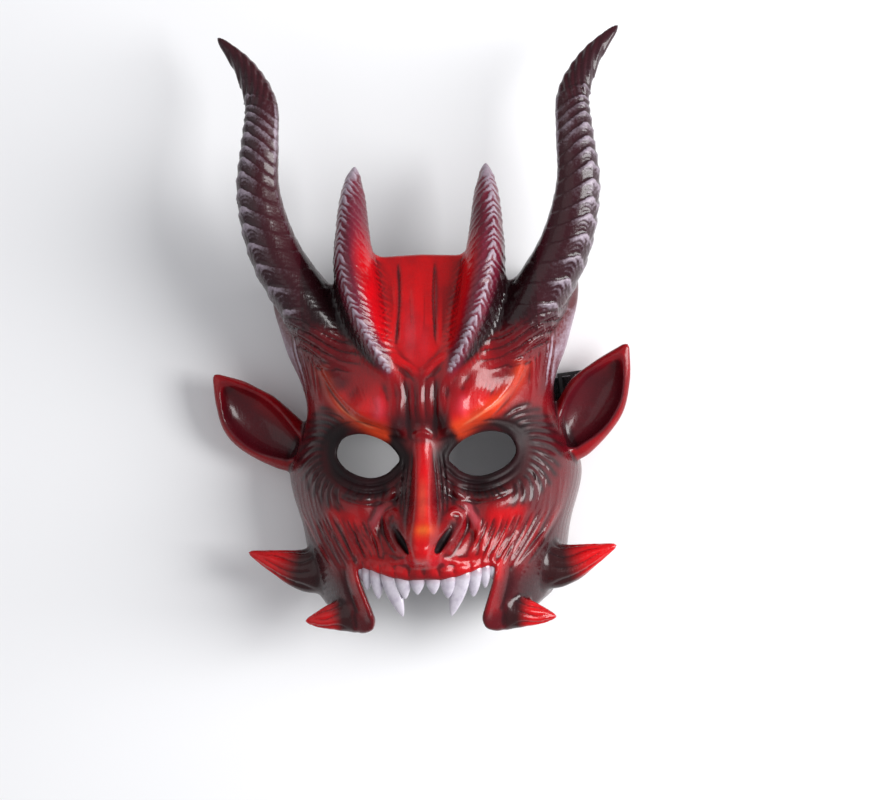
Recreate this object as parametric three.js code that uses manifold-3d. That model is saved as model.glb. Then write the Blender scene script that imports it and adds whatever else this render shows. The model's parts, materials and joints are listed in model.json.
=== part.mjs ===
// A horned devil face mask, moulded in one piece of flexible foam, with an elastic head strap.
// It lies face up on its back rim. Millimetres: X across the face, Y from the jaw to the horn tips,
// Z from the surface it lies on up to the nose. Sculpting heights are measured from the eye line,
// and the finished group is shifted so that its origin is under the middle of its outline.
import * as THREE from "three";
import { mergeVertices } from "three/addons/utils/BufferGeometryUtils.js";
import Module from "manifold-3d";

// Walls and rim
const WALL = 6; // thickness of the moulded shell
const RIM_RISE_START = -52; // below this height the rim leaves the surface towards the jaw
const RIM_RISE_RUN = 20; // how far the rise takes to turn upwards
const JAW_RIM_HEIGHT = 40; // how high the rim has risen at the foot of the jaw
const STRAP_ARCH = { from: 17, to: 46, rise: 9 }; // lifted piece of rim where the strap passes

// The face as stations up its height: half width at the rim, and depth from the rim to the midline
const FACE = [
  { y: -112, half: 64, depth: 74 },
  { y: -88, half: 70, depth: 82 },
  { y: -70, half: 75.5, depth: 85 },
  { y: -45, half: 79.5, depth: 83 },
  { y: -14, half: 87, depth: 81 },
  { y: 8, half: 80, depth: 82 },
  { y: 30, half: 72.5, depth: 86 },
  { y: 60, half: 72, depth: 86 },
  { y: 90, half: 72, depth: 79 },
  { y: 118, half: 70, depth: 70 },
];
// Bulge of the temples towards the horns: how far out, at each height up the face, and how deep it sits
const TEMPLE_FLARE = [[12, 0], [31, 7], [44, 12], [57, 18], [71, 23], [86, 28], [100, 30], [118, 27]];
const FLARE_DEPTH = { middle: 52, reach: 24 };
const FACE_SQUARENESS = 2.4; // exponent of the face's cross-section: 2 is an ellipse
const OUTSIDE = { rows: 44, columns: 36, carving: 1, foot: -10 };
const HOLLOW = { rows: 18, columns: 18, carving: 0.55, foot: -30 }; // it follows the carving more softly
const CARVING_FADE = 15; // height over the rim in which the carving reaches its full depth
const CARVING_SPREAD = 0.4; // share of the carving's height that also pushes sideways

// Outline seen from the front, right half, from the forehead edge round the jaw to the upper lip
const TOP_EDGE = 114;
const CROWN = [[24, 113], [38, 108], [50, 95], [60, 95], [74, 104], [90, 106], [98, 100], [102, 84]];
const JAW = [[96, -62], [74, -82], [63, -91], [52, -103], [40, -107]];
const JAW_TOE = [[33, -105], [31, -99]];
const MOUTH_SIDE = [[34, -90], [38.5, -77], [41, -67.5]];
const GUM_LINE = [[33, -69], [22, -73], [10, -75.5]];
const GUM_CENTRE = -75;
const EYE_UPPER_LID = [[14.5, -5.5], [20, 3], [30, 8.5], [40, 10], [49, 7]];
const EYE_LOWER_LID = [[52.5, -2], [47, -10], [33, -15.5], [22, -13]];
const EYE_CURVE_STEPS = 22;

// Nose
const NOSE_HEIGHT = [[16, 0], [6, 3], [-20, 10], [-44, 20], [-55, 23], [-63, 17], [-69, 3], [-76, 0]];
const NOSE_HALF = [[16, 4.5], [-20, 6], [-40, 8], [-53, 9.5], [-62, 8], [-72, 6]];
const WING = { x: 14.5, y: -48, rx: 6.5, ry: 10.5, height: 9 };

// Brow and socket: the brow's lower edge as height over distance from the midline
const BROW_EDGE = [[8, 7], [17, 9.6], [36, 17.5], [50, 31], [58, 44], [64, 60]];
const BROW = { height: 7, edge: 5, fade: 25, inner: 7, innerFade: 8, outer: 66, outerFade: 12 };
const SOCKET = { x: 35, y: -1, rx: 24, ry: 17, height: -9 };
const CHEEKBONE = { x: 50, y: -31, rx: 20, ry: 14, height: 5 };
const CHEEK_HOLLOW = { x: 27, y: -32, rx: 7, ry: 20, height: -4 };
const MUZZLE = { x: 0, y: -72, rx: 34, ry: 13, height: 5 };
const GLABELLA = { x: 0, y: 27, rx: 8, ry: 19, height: 3 };

// Big horns: where they leave the temple, how far their tips reach from there, and their stations.
// Out and up are shares of that reach; across is half the width seen from the front, deep half the depth.
const BIG_HORN_FOOT = { x: 46, y: 58 };
const BIG_HORN_REACH = { out: 72, up: 187 };
const BIG_HORN_LINE = [
  { out: 0, up: 0, z: 60, across: 17, deep: 20 },
  { out: 0.306, up: 0.16, z: 66, across: 16, deep: 21 },
  { out: 0.542, up: 0.3155, z: 72, across: 14.5, deep: 16 },
  { out: 0.66, up: 0.503, z: 75, across: 12.2, deep: 12 },
  { out: 0.639, up: 0.663, z: 73, across: 10.4, deep: 9.6 },
  { out: 0.632, up: 0.781, z: 69, across: 9, deep: 8.2 },
  { out: 0.764, up: 0.893, z: 64, across: 6.4, deep: 6 },
  { out: 1, up: 1, z: 58, across: 1.6, deep: 1.6 },
];
const BIG_HORN = BIG_HORN_LINE.map(({ out, up, ...rest }) => ({
  x: BIG_HORN_FOOT.x + out * BIG_HORN_REACH.out,
  y: BIG_HORN_FOOT.y + up * BIG_HORN_REACH.up,
  ...rest,
}));
// Small horns, and the same measures at each point of their centre line
const SMALL_HORN = [
  { x: 17, y: 44, z: 80, across: 3.5, deep: 6 },
  { x: 26, y: 62, z: 80, across: 8.5, deep: 14 },
  { x: 33.5, y: 84, z: 79, across: 11.5, deep: 20 },
  { x: 38, y: 107, z: 76, across: 11.8, deep: 20 },
  { x: 39, y: 128, z: 71, across: 9.6, deep: 15 },
  { x: 39, y: 148, z: 65, across: 7, deep: 10 },
  { x: 38.6, y: 167, z: 58, across: 1.8, deep: 2.4 },
];
// How finely each limb is made, and the exponent of its section: 2 is round, less has edges
const BIG_HORN_FORM = { sides: 12, steps: 24, exponent: 2 };
const SMALL_HORN_FORM = { sides: 10, steps: 16, exponent: 1.6 };
const UPPER_SPIKE_FORM = { sides: 10, steps: 7, exponent: 2 };
const LOWER_SPIKE_FORM = { sides: 8, steps: 6, exponent: 2 };
const EAR_FORM = { sides: 12, steps: 12, exponent: 2 };
const EAR_CUP_FORM = { sides: 12, steps: 8, exponent: 2 };

// Ears: how far each one's tip reaches from where it leaves the head, and shares of that reach along
// its centre line. The two differ, as on the real one.
const EAR_FOOT = { x: 72, y: -4, z: 20 };
const LEFT_EAR = { side: -1, out: 57, up: 51, forward: 8 };
const LEFT_EAR_LINE = [[0, 0, 0], [0.21, 0.137, 0], [0.614, 0.47, 0.25], [0.825, 0.755, 0.625], [1, 1, 1]];
const RIGHT_EAR = { side: 1, out: 45.5, up: 63.5, forward: 10 };
const RIGHT_EAR_LINE = [[0, 0, 0], [0.198, 0.142, 0], [0.55, 0.488, 0.3], [0.791, 0.748, 0.6], [1, 1, 1]];
const EAR_HALF_WIDTHS = [9, 15.5, 18.5, 12, 1.4];
const EAR_HALF_DEPTHS = [8, 10, 9, 6, 1.4];
// The cup is a smaller leaf cut out of the ear's front: its width as a share of the ear's, how far
// forward its centre line lies, how much of the ear's depth it takes, and where along the ear it runs
const EAR_CUP = { share: 0.82, lift: 8.5, bite: 0.35, from: 0.22, to: 0.953, blunt: 0.12 };
const EAR_CUP_TIP = { across: 0.6, deep: 1 };

// Cheek spikes, right side: centre line and half widths
const UPPER_SPIKE = [
  { x: 66, y: -70, z: 36, across: 13.5, deep: 13 },
  { x: 78, y: -69.5, z: 37, across: 11, deep: 10.5 },
  { x: 93, y: -64.5, z: 39, across: 6.2, deep: 6 },
  { x: 109, y: -58.5, z: 41, across: 1.3, deep: 1.3 },
];
const LOWER_SPIKE = [
  { x: 46, y: -95, z: 58, across: 9, deep: 8.5 },
  { x: 56, y: -96, z: 58, across: 7.2, deep: 7 },
  { x: 65, y: -97.5, z: 58, across: 4.4, deep: 4.4 },
  { x: 74, y: -99, z: 58, across: 1.1, deep: 1.1 },
];

// Teeth, right side: distance from the midline, gum height, width, length, and how far the tip leans in
const TEETH = [
  { x: 4.5, gum: -74, width: 8.8, length: 8.8, lean: 0, taper: 0.8 },
  { x: 13, gum: -73.4, width: 8.6, length: 12, lean: 0.6, taper: 1 },
  { x: 21.4, gum: -72, width: 9.6, length: 24, lean: 7.2, taper: 1.3 },
  { x: 28.6, gum: -70.2, width: 7.8, length: 15.5, lean: 1.2, taper: 1.2 },
  { x: 34, gum: -68.2, width: 6.6, length: 12.5, lean: 0.8, taper: 1.2 },
  { x: 38.5, gum: -67, width: 5.6, length: 9, lean: 0.4, taper: 1.2 },
];
// The teeth's thickness, how far they reach up into the lip, how much of the thickness lies behind
// the lip's surface, how far the tips lean back, and what makes up for the flats of the section
const TOOTH = { thickness: 5.6, root: 5, behind: 0.62, rake: 0.08, fullness: 1.12, corners: 8 };
const TOOTH_BULGE = [[0, 0.9], [0.35, 1], [0.65, 0.88], [0.87, 0.58], [1, 0.2]];

// Strap: a flat elastic band, and the slider that sets its length
const BAND = { width: 15, thickness: 1.2, steps: 66 };
const CLEAR = 0.35; // gap between pieces that touch
const ANCHOR = { y: 32, height: 24, clear: 1.25 }; // where the band is glued to the faceted inner walls
const EXIT_SLOPE = 0.12; // how much the band turns towards the horns on its way out
const BAND_SLACK = [[-36, 0], [-14, 3], [12, 4], [38, 0]]; // how the loose band lifts off the surface
const SLIDER = { x: 84, length: 18, bar: 2.4, thickness: 1.6, side: 2 };
const SLOT = { width: BAND.width + 3 * CLEAR, length: (SLIDER.length - 3 * SLIDER.bar) / 2 };
const LAYER_RISE = BAND.thickness + 2 * CLEAR; // from the lower layer of the folded band to the upper one
const SLIDER_GAP = 0.2; // extra room between the slider and the band that bends through it
const SLIDER_Z = LAYER_RISE + BAND.thickness + 2 * CLEAR + SLIDER_GAP + SLIDER.thickness / 2;
const LOOP_END = 98; // how far out the folded band reaches
const BAND_BEND = 3; // about how tightly the band turns

// Half size of the cutting solids: as far as the horns' tips, so past every edge of the face
const BEYOND = BIG_HORN.at(-1).y;

const wasm = await Module();
wasm.setup();

// Smooth curve through [position, value] pairs, in any order of position
function through(pairs, at) {
  const rows = [...pairs].sort((a, b) => a[0] - b[0]);
  const last = rows.length - 1;
  if (at <= rows[0][0]) return rows[0][1];
  if (at >= rows[last][0]) return rows[last][1];
  const i = rows.findIndex((row) => row[0] > at) - 1;
  const slope = (a, b) => (rows[b][1] - rows[a][1]) / (rows[b][0] - rows[a][0]);
  const gap = rows[i + 1][0] - rows[i][0];
  const t = (at - rows[i][0]) / gap;
  const enter = slope(Math.max(i - 1, 0), i + 1) * gap;
  const leave = slope(i, Math.min(i + 2, last)) * gap;
  return (
    (2 * t ** 3 - 3 * t ** 2 + 1) * rows[i][1] +
    (t ** 3 - 2 * t ** 2 + t) * enter +
    (3 * t ** 2 - 2 * t ** 3) * rows[i + 1][1] +
    (t ** 3 - t ** 2) * leave
  );
}

const faceHalf = (y) => through(FACE.map((s) => [s.y, s.half]), y);
const faceDepth = (y) => through(FACE.map((s) => [s.y, s.depth]), y);
const signedPower = (v, exponent) => Math.sign(v) * Math.abs(v) ** exponent;
const mound = (x, y, m) => m.height * Math.exp(-(((x - m.x) / m.rx) ** 2) - ((y - m.y) / m.ry) ** 2);

function brow(x, y) {
  const above = y - through(BROW_EDGE, x);
  const rise = THREE.MathUtils.smoothstep(above, -BROW.edge / 2, BROW.edge);
  const fade = Math.exp(-((Math.max(above, 0) / BROW.fade) ** 2));
  const inner = THREE.MathUtils.smoothstep(x, BROW.inner, BROW.inner + BROW.innerFade);
  const outer = 1 - THREE.MathUtils.smoothstep(x, BROW.outer - BROW.outerFade, BROW.outer);
  return BROW.height * rise * fade * inner * outer;
}

function nose(x, y) {
  return through(NOSE_HEIGHT, y) / (1 + (x / through(NOSE_HALF, y)) ** 4);
}

// Height of the carving over the plain face, at a place seen from the front
function carving(side, y) {
  const x = Math.abs(side);
  const forms = [SOCKET, CHEEKBONE, CHEEK_HOLLOW, MUZZLE, GLABELLA, WING];
  return nose(x, y) + brow(x, y) + forms.reduce((sum, form) => sum + mound(x, y, form), 0);
}

// How far the temple bulges out at a height up the face and a depth over the rim
function templeFlare(y, z) {
  const share = (z - FLARE_DEPTH.middle) / FLARE_DEPTH.reach;
  return through(TEMPLE_FLARE, y) * Math.exp(-share * share);
}

// Depth of the plain face over the rim at a place seen from the front
function faceHeight(x, y) {
  const share = Math.min(Math.abs(x) / faceHalf(y), 1) ** FACE_SQUARENESS;
  return faceDepth(y) * (1 - share) ** (1 / FACE_SQUARENESS);
}

// Closed body through rings of points, with a fan over each end
function loft(rings) {
  const count = rings[0].length;
  const points = rings.flat();
  const faces = [];
  for (let r = 0; r + 1 < rings.length; r += 1) {
    for (let i = 0; i < count; i += 1) {
      const a = r * count + i;
      const b = r * count + ((i + 1) % count);
      faces.push(a, b, b + count, a, b + count, a + count);
    }
  }
  for (const last of [false, true]) {
    const ring = last ? rings.at(-1) : rings[0];
    const first = last ? (rings.length - 1) * count : 0;
    points.push(ring.reduce((sum, p) => sum.add(p), new THREE.Vector3()).divideScalar(count));
    for (let i = 0; i < count; i += 1) {
      const pair = [first + i, first + ((i + 1) % count)];
      faces.push(...(last ? pair : pair.reverse()), points.length - 1);
    }
  }
  const geometry = new THREE.BufferGeometry().setFromPoints(points);
  geometry.setIndex(faces);
  return geometry;
}

// A geometry as a solid that can be joined and cut
function solid(geometry) {
  const plain = new THREE.BufferGeometry();
  plain.setAttribute("position", geometry.getAttribute("position"));
  plain.setIndex(geometry.getIndex());
  const merged = mergeVertices(plain, 1e-4);
  const mesh = new wasm.Mesh({
    numProp: 3,
    vertProperties: new Float32Array(merged.attributes.position.array),
    triVerts: new Uint32Array(merged.index.array),
  });
  const made = new wasm.Manifold(mesh);
  if (made.volume() >= 0) return made;
  mesh.triVerts.reverse();
  return new wasm.Manifold(mesh);
}

function geometryOf(made) {
  const mesh = made.getMesh();
  const geometry = new THREE.BufferGeometry();
  geometry.setAttribute("position", new THREE.BufferAttribute(new Float32Array(mesh.vertProperties), 3));
  geometry.setIndex(new THREE.BufferAttribute(new Uint32Array(mesh.triVerts), 1));
  geometry.computeVertexNormals();
  return geometry;
}

// The face, or its hollow, as rows of points from rim to rim
function faceBody(inset, { rows, columns, carving: relief, foot }) {
  const bottom = FACE[0].y;
  const top = FACE.at(-1).y;
  const rings = [];
  for (let r = 0; r <= rows; r += 1) {
    const y = bottom + ((top - bottom) * r) / rows;
    const ring = [];
    for (let c = 0; c <= columns; c += 1) {
      const turn = Math.PI * (c / columns - 0.5);
      const x = (faceHalf(y) - inset) * signedPower(Math.sin(turn), 2 / FACE_SQUARENESS);
      const z = (faceDepth(y) - inset) * Math.abs(Math.cos(turn)) ** (2 / FACE_SQUARENESS);
      const out = new THREE.Vector2(x / faceHalf(y), z / faceDepth(y)).normalize();
      const height = relief * carving(x, y) * Math.min(1, z / CARVING_FADE);
      const flare = Math.sign(x) * templeFlare(y, z + inset);
      ring.push(new THREE.Vector3(x + flare + out.x * height * CARVING_SPREAD, y, z + out.y * height));
    }
    for (const side of [1, -1]) ring.push(new THREE.Vector3(side * (faceHalf(y) - inset), y, foot));
    rings.push(ring);
  }
  return solid(loft(rings));
}

const smoothLine = (places) =>
  new THREE.CatmullRomCurve3(places.map((at) => new THREE.Vector3(...at)), false, "centripetal");

// Limb along a smooth centre line, with a rounded or edged section that narrows to its tip
function limb(stations, { sides, steps, exponent }) {
  const centre = smoothLine(stations.map((s) => [s.x, s.y, s.z]));
  const marks = stations.map((s, i) => i / (stations.length - 1));
  const front = new THREE.Vector3(0, 0, 1);
  const rings = [];
  for (let r = 0; r <= steps; r += 1) {
    const t = r / steps;
    const middle = centre.getPoint(t);
    const forward = centre.getTangent(t);
    const across = new THREE.Vector3().crossVectors(forward, front).normalize();
    const deep = new THREE.Vector3().crossVectors(across, forward).normalize();
    const width = through(stations.map((s, i) => [marks[i], s.across]), t);
    const depth = through(stations.map((s, i) => [marks[i], s.deep]), t);
    const ring = [];
    for (let i = 0; i < sides; i += 1) {
      const turn = (2 * Math.PI * i) / sides;
      const a = width * signedPower(Math.cos(turn), 2 / exponent);
      const b = depth * signedPower(Math.sin(turn), 2 / exponent);
      ring.push(middle.clone().addScaledVector(across, a).addScaledVector(deep, b));
    }
    rings.push(ring);
  }
  return solid(loft(rings));
}

const mirrored = (stations) => stations.map((s) => ({ ...s, x: -s.x }));
const bothSides = (stations, form) => [limb(stations, form), limb(mirrored(stations), form)];

// Leaf-shaped ear with a hollow cup that faces forwards
function ear(reach, shares) {
  const line = shares.map(([out, up, forward]) => [
    reach.side * (EAR_FOOT.x + out * reach.out),
    EAR_FOOT.y + up * reach.up,
    EAR_FOOT.z + forward * reach.forward,
  ]);
  const stations = line.map(([x, y, z], i) => {
    return { x, y, z, across: EAR_HALF_WIDTHS[i], deep: EAR_HALF_DEPTHS[i] };
  });
  const centre = smoothLine(line);
  const last = stations.length - 1;
  const along = (values, t) => through(values.map((v, k) => [k / last, v]), t);
  const cup = stations.map((s, i) => {
    const t = EAR_CUP.from + ((EAR_CUP.to - EAR_CUP.from) * i) / last;
    const at = centre.getPoint(t);
    const swell = Math.sin(Math.PI * (EAR_CUP.blunt + (1 - EAR_CUP.blunt) * (i / last))) ** 0.5 || 0;
    const across = EAR_CUP.share * along(EAR_HALF_WIDTHS, t) * swell;
    const deep = (EAR_CUP.lift + EAR_CUP.bite * along(EAR_HALF_DEPTHS, t)) * swell;
    return {
      x: at.x,
      y: at.y,
      z: at.z + EAR_CUP.lift,
      across: Math.max(EAR_CUP_TIP.across, across),
      deep: Math.max(EAR_CUP_TIP.deep, deep),
    };
  });
  return limb(stations, EAR_FORM).subtract(limb(cup, EAR_CUP_FORM));
}

// Tooth: a flattened cone that hangs from the gum along the curve of the lip
function tooth(t, side) {
  const reach = t.length + TOOTH.root;
  const lip = faceHeight(t.x, t.gum) + mound(t.x, t.gum, MUZZLE) - TOOTH.thickness * TOOTH.behind;
  const rings = TOOTH_BULGE.map(([share, bulge]) => {
    const size = bulge ** t.taper;
    const drop = Math.max(0, share * reach - TOOTH.root);
    const x = t.x - (t.lean * drop) / t.length;
    const y = t.gum + TOOTH.root - share * reach;
    const across = (t.width / 2) * size * TOOTH.fullness;
    const deep = (TOOTH.thickness / 2) * size;
    return Array.from({ length: TOOTH.corners }, (_, i) => {
      const turn = (2 * Math.PI * (i + 0.5)) / TOOTH.corners;
      const z = lip + deep * Math.sin(turn) - drop * TOOTH.rake;
      return new THREE.Vector3(side * (x + across * Math.cos(turn)), y, z);
    });
  });
  return solid(loft(rings));
}

// Solid that keeps what lies inside the outline seen from the front, with the eyes and mouth open
function frontCutter() {
  const right = [...CROWN, ...JAW, ...JAW_TOE, ...MOUTH_SIDE, ...GUM_LINE];
  const shape = new THREE.Shape();
  shape.moveTo(0, TOP_EDGE);
  right.forEach(([x, y]) => shape.lineTo(x, y));
  shape.lineTo(0, GUM_CENTRE);
  [...right].reverse().forEach(([x, y]) => shape.lineTo(-x, y));
  shape.closePath();
  for (const side of [1, -1]) {
    const lids = [...EYE_UPPER_LID, ...EYE_LOWER_LID];
    const points = lids.map(([x, y]) => new THREE.Vector3(side * x, y, 0));
    if (side > 0) points.reverse(); // a hole runs the other way round from its outline
    const curve = new THREE.CatmullRomCurve3(points, true);
    const edge = curve.getPoints(EYE_CURVE_STEPS).slice(0, -1);
    shape.holes.push(new THREE.Path(edge.map((p) => new THREE.Vector2(p.x, p.y))));
  }
  return solid(new THREE.ExtrudeGeometry(shape, { depth: BEYOND, bevelEnabled: false }));
}

// Solid that keeps what lies above the rim seen from the side
function sideCutter() {
  const archMiddle = (STRAP_ARCH.from + STRAP_ARCH.to) / 2;
  const shape = new THREE.Shape();
  shape.moveTo(BEYOND, 0);
  shape.lineTo(BEYOND, BEYOND);
  shape.lineTo(-BEYOND, BEYOND);
  shape.lineTo(-BEYOND, JAW_RIM_HEIGHT);
  shape.lineTo(JAW.at(-1)[1], JAW_RIM_HEIGHT);
  shape.quadraticCurveTo(RIM_RISE_START - RIM_RISE_RUN, 0, RIM_RISE_START, 0);
  shape.lineTo(STRAP_ARCH.from, 0);
  shape.quadraticCurveTo(archMiddle, 2 * STRAP_ARCH.rise, STRAP_ARCH.to, 0);
  shape.closePath();
  const across = { depth: 2 * BEYOND, bevelEnabled: false, curveSegments: 8 };
  const cutter = new THREE.ExtrudeGeometry(shape, across);
  cutter.translate(0, 0, -BEYOND);
  cutter.applyMatrix4(new THREE.Matrix4().set(0, 0, 1, 0, 1, 0, 0, 0, 0, 1, 0, 0, 0, 0, 0, 1));
  return solid(cutter);
}

function maskBody() {
  const shell = faceBody(0, OUTSIDE).intersect(frontCutter()).intersect(sideCutter());
  const hollow = faceBody(WALL, HOLLOW);
  const above = solid(new THREE.BoxGeometry(4 * BEYOND, 4 * BEYOND, BEYOND).translate(0, 0, BEYOND / 2));
  const limbs = [
    ...bothSides(BIG_HORN, BIG_HORN_FORM),
    ...bothSides(SMALL_HORN, SMALL_HORN_FORM),
    ...bothSides(UPPER_SPIKE, UPPER_SPIKE_FORM),
    ...bothSides(LOWER_SPIKE, LOWER_SPIKE_FORM),
    ear(LEFT_EAR, LEFT_EAR_LINE),
    ear(RIGHT_EAR, RIGHT_EAR_LINE),
  ];
  const whole = limbs.reduce((sum, piece) => sum.add(piece), shell).intersect(above).subtract(hollow);
  const teeth = TEETH.flatMap((t) => [tooth(t, 1), tooth(t, -1)]);
  return teeth.reduce((sum, piece) => sum.add(piece), whole);
}

// Half width of the hollow at a height up the face and a depth over the rim
function hollowHalf(y, z) {
  const share = (z / (faceDepth(y) - WALL)) ** FACE_SQUARENESS;
  return (faceHalf(y) - WALL) * (1 - share) ** (1 / FACE_SQUARENESS) + templeFlare(y, z + WALL);
}

// Height up the face of the band's centre line, at a distance out from the midline on the right
function bandCentre(x) {
  return ANCHOR.y + (x - hollowHalf(ANCHOR.y, 0)) * EXIT_SLOPE;
}

// Centre line of the band: glued to the left inner wall, along the surface under the hollow,
// out under the lifted rim, and back over itself through the slider to the right inner wall
function bandRoute() {
  const low = CLEAR + BAND.thickness / 2;
  const upper = low + LAYER_RISE;
  const over = SLIDER_Z + SLIDER.thickness / 2 + CLEAR + SLIDER_GAP + BAND.thickness / 2;
  const wall = (z) => hollowHalf(ANCHOR.y, z) - ANCHOR.clear - BAND.thickness / 2;
  const out = (x, z) => [x, bandCentre(x), z];
  const end = ANCHOR.height;
  const edge = SLIDER.length / 2;
  const enter = edge - SLIDER.bar - 2 * SLIDER_GAP;
  const crest = SLIDER.bar / 2 + 2 * SLIDER_GAP;
  return [
    [-wall(end), ANCHOR.y, end],
    [-wall(end / 2), ANCHOR.y, end / 2],
    [BAND_BEND - wall(0), ANCHOR.y, BAND_BEND],
    [3 * BAND_BEND - wall(0), ANCHOR.y, low + CLEAR],
    ...BAND_SLACK.map(([x, rise]) => [x, ANCHOR.y, low + rise]),
    out(wall(0) - 3 * BAND_BEND, low),
    out(SLIDER.x, low),
    out(LOOP_END - BAND_BEND, low),
    out(LOOP_END, low + LAYER_RISE / 2),
    out(LOOP_END - BAND_BEND, upper),
    out(SLIDER.x + edge, upper),
    out(SLIDER.x + enter, upper),
    out(SLIDER.x + crest, over),
    out(SLIDER.x - crest, over),
    out(SLIDER.x - enter, upper),
    out(SLIDER.x - edge, upper),
    out(wall(0) - BAND_BEND, upper),
    [wall(3 * BAND_BEND), ANCHOR.y, 3 * BAND_BEND],
    [wall(end * 0.6), ANCHOR.y, end * 0.6],
    [wall(end), ANCHOR.y, end],
  ];
}

function strapBand() {
  const route = smoothLine(bandRoute());
  const rings = [];
  for (let r = 0; r <= BAND.steps; r += 1) {
    const middle = route.getPointAt(r / BAND.steps);
    const forward = route.getTangentAt(r / BAND.steps);
    const flat = new THREE.Vector3(-EXIT_SLOPE, 1, 0);
    const wide = flat.addScaledVector(forward, -flat.dot(forward)).normalize();
    const thick = new THREE.Vector3().crossVectors(forward, wide).normalize();
    wide.multiplyScalar(BAND.width / 2);
    thick.multiplyScalar(BAND.thickness / 2);
    const corner = (w, t) => middle.clone().addScaledVector(wide, w).addScaledVector(thick, t);
    rings.push([corner(1, 1), corner(-1, 1), corner(-1, -1), corner(1, -1)]);
  }
  return solid(loft(rings));
}

// Flat plate with two slots that the band is threaded through
function strapSlider() {
  const across = SLOT.width + 2 * SLIDER.side;
  const place = (geometry) =>
    solid(geometry.rotateZ(Math.atan(EXIT_SLOPE)).translate(SLIDER.x, bandCentre(SLIDER.x), SLIDER_Z));
  const plate = place(new THREE.BoxGeometry(SLIDER.length, across, SLIDER.thickness));
  const slots = [1, -1].map((side) => {
    const slot = new THREE.BoxGeometry(SLOT.length, SLOT.width, 2 * SLIDER.thickness);
    return place(slot.translate((side * (SLIDER.bar + SLOT.length)) / 2, 0, 0));
  });
  return slots.reduce((rest, slot) => rest.subtract(slot), plate);
}

const colours = {
  foam: new THREE.MeshStandardMaterial({ color: 0xa01018, roughness: 0.38, metalness: 0 }),
  elastic: new THREE.MeshStandardMaterial({ color: 0x16161a, roughness: 0.8, metalness: 0 }),
  plastic: new THREE.MeshStandardMaterial({ color: 0x0c0c0e, roughness: 0.35, metalness: 0 }),
};

const mask = new THREE.Group();
for (const [name, made, colour] of [
  ["mask_body", maskBody(), colours.foam],
  ["strap_band", strapBand(), colours.elastic],
  ["strap_slider", strapSlider(), colours.plastic],
]) {
  const piece = new THREE.Mesh(geometryOf(made), colour);
  piece.name = name;
  mask.add(piece);
}

const middle = new THREE.Box3().setFromObject(mask).getCenter(new THREE.Vector3());
mask.position.set(-middle.x, -middle.y, 0);

export default mask;
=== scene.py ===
# %% [markdown]
# # A horned devil mask
# The real thing is one hollow moulding of flexible foam, painted by hand and lacquered, with a strap.
# We lay it face up on a pale floor and look down on it, because a loose mask can't stand by itself.
# The frame comes first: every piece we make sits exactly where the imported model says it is.

# %% Load the frame
import json
import math

import bmesh
import bpy
import numpy as np
import openvdb
from mathutils import Matrix, Vector

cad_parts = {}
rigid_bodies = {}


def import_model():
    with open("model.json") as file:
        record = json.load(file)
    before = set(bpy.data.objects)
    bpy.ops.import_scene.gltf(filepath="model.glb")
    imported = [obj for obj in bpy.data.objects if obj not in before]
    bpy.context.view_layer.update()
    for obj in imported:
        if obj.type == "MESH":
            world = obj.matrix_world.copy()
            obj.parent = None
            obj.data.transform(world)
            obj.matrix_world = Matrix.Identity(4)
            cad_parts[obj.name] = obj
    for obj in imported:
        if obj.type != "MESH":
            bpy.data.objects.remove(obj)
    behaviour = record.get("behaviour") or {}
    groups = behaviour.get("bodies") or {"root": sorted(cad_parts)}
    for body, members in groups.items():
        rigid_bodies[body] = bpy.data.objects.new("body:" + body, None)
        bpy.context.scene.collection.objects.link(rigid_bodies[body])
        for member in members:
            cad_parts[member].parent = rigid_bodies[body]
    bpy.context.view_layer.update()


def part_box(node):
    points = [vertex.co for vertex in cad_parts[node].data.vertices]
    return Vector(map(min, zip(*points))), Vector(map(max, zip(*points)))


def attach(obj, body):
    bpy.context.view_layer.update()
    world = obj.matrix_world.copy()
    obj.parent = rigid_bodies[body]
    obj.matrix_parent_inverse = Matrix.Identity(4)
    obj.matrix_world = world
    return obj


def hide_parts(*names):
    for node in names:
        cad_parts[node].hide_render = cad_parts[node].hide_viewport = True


for leftover in list(bpy.data.objects):
    bpy.data.objects.remove(leftover)
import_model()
MM = 0.001

# %% [markdown]
# We sculpt in millimetres around the middle of the face: x across, y up to the horns with 0 at the eyes,
# and z out of the face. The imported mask's lowest corner tells how far to move the finished pieces.

# %% Sculpting frame
LOW_CORNER = np.array([-130.094, -107.0, 0.0])
SHIFT = np.array(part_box("mask_body")[0]) / MM - LOW_CORNER
SEED = 7
rng = np.random.default_rng(SEED)


def to_row(points):
    """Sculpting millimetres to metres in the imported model's frame."""
    return (np.asarray(points, float) + SHIFT) * MM


print("shift, mm:", SHIFT.round(2))

# %% [markdown]
# The camera looks straight down on the mask, from a little to its right, with a long lens as a product
# photographer uses. A long lens keeps the horns' tips and the nose in proportion.

# %% Camera
YAW, ROLL = math.radians(5.5), math.radians(1.35)
PIVOT = np.array([0.0, 0.0, 25.0])
CAMERA_HEIGHT, FRAMING = 2555.0, (4.64, 29.0)
VIEW_WIDTH, VIEW_DISTANCE, SENSOR = 510.4, 2500.0, 36.0

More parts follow.
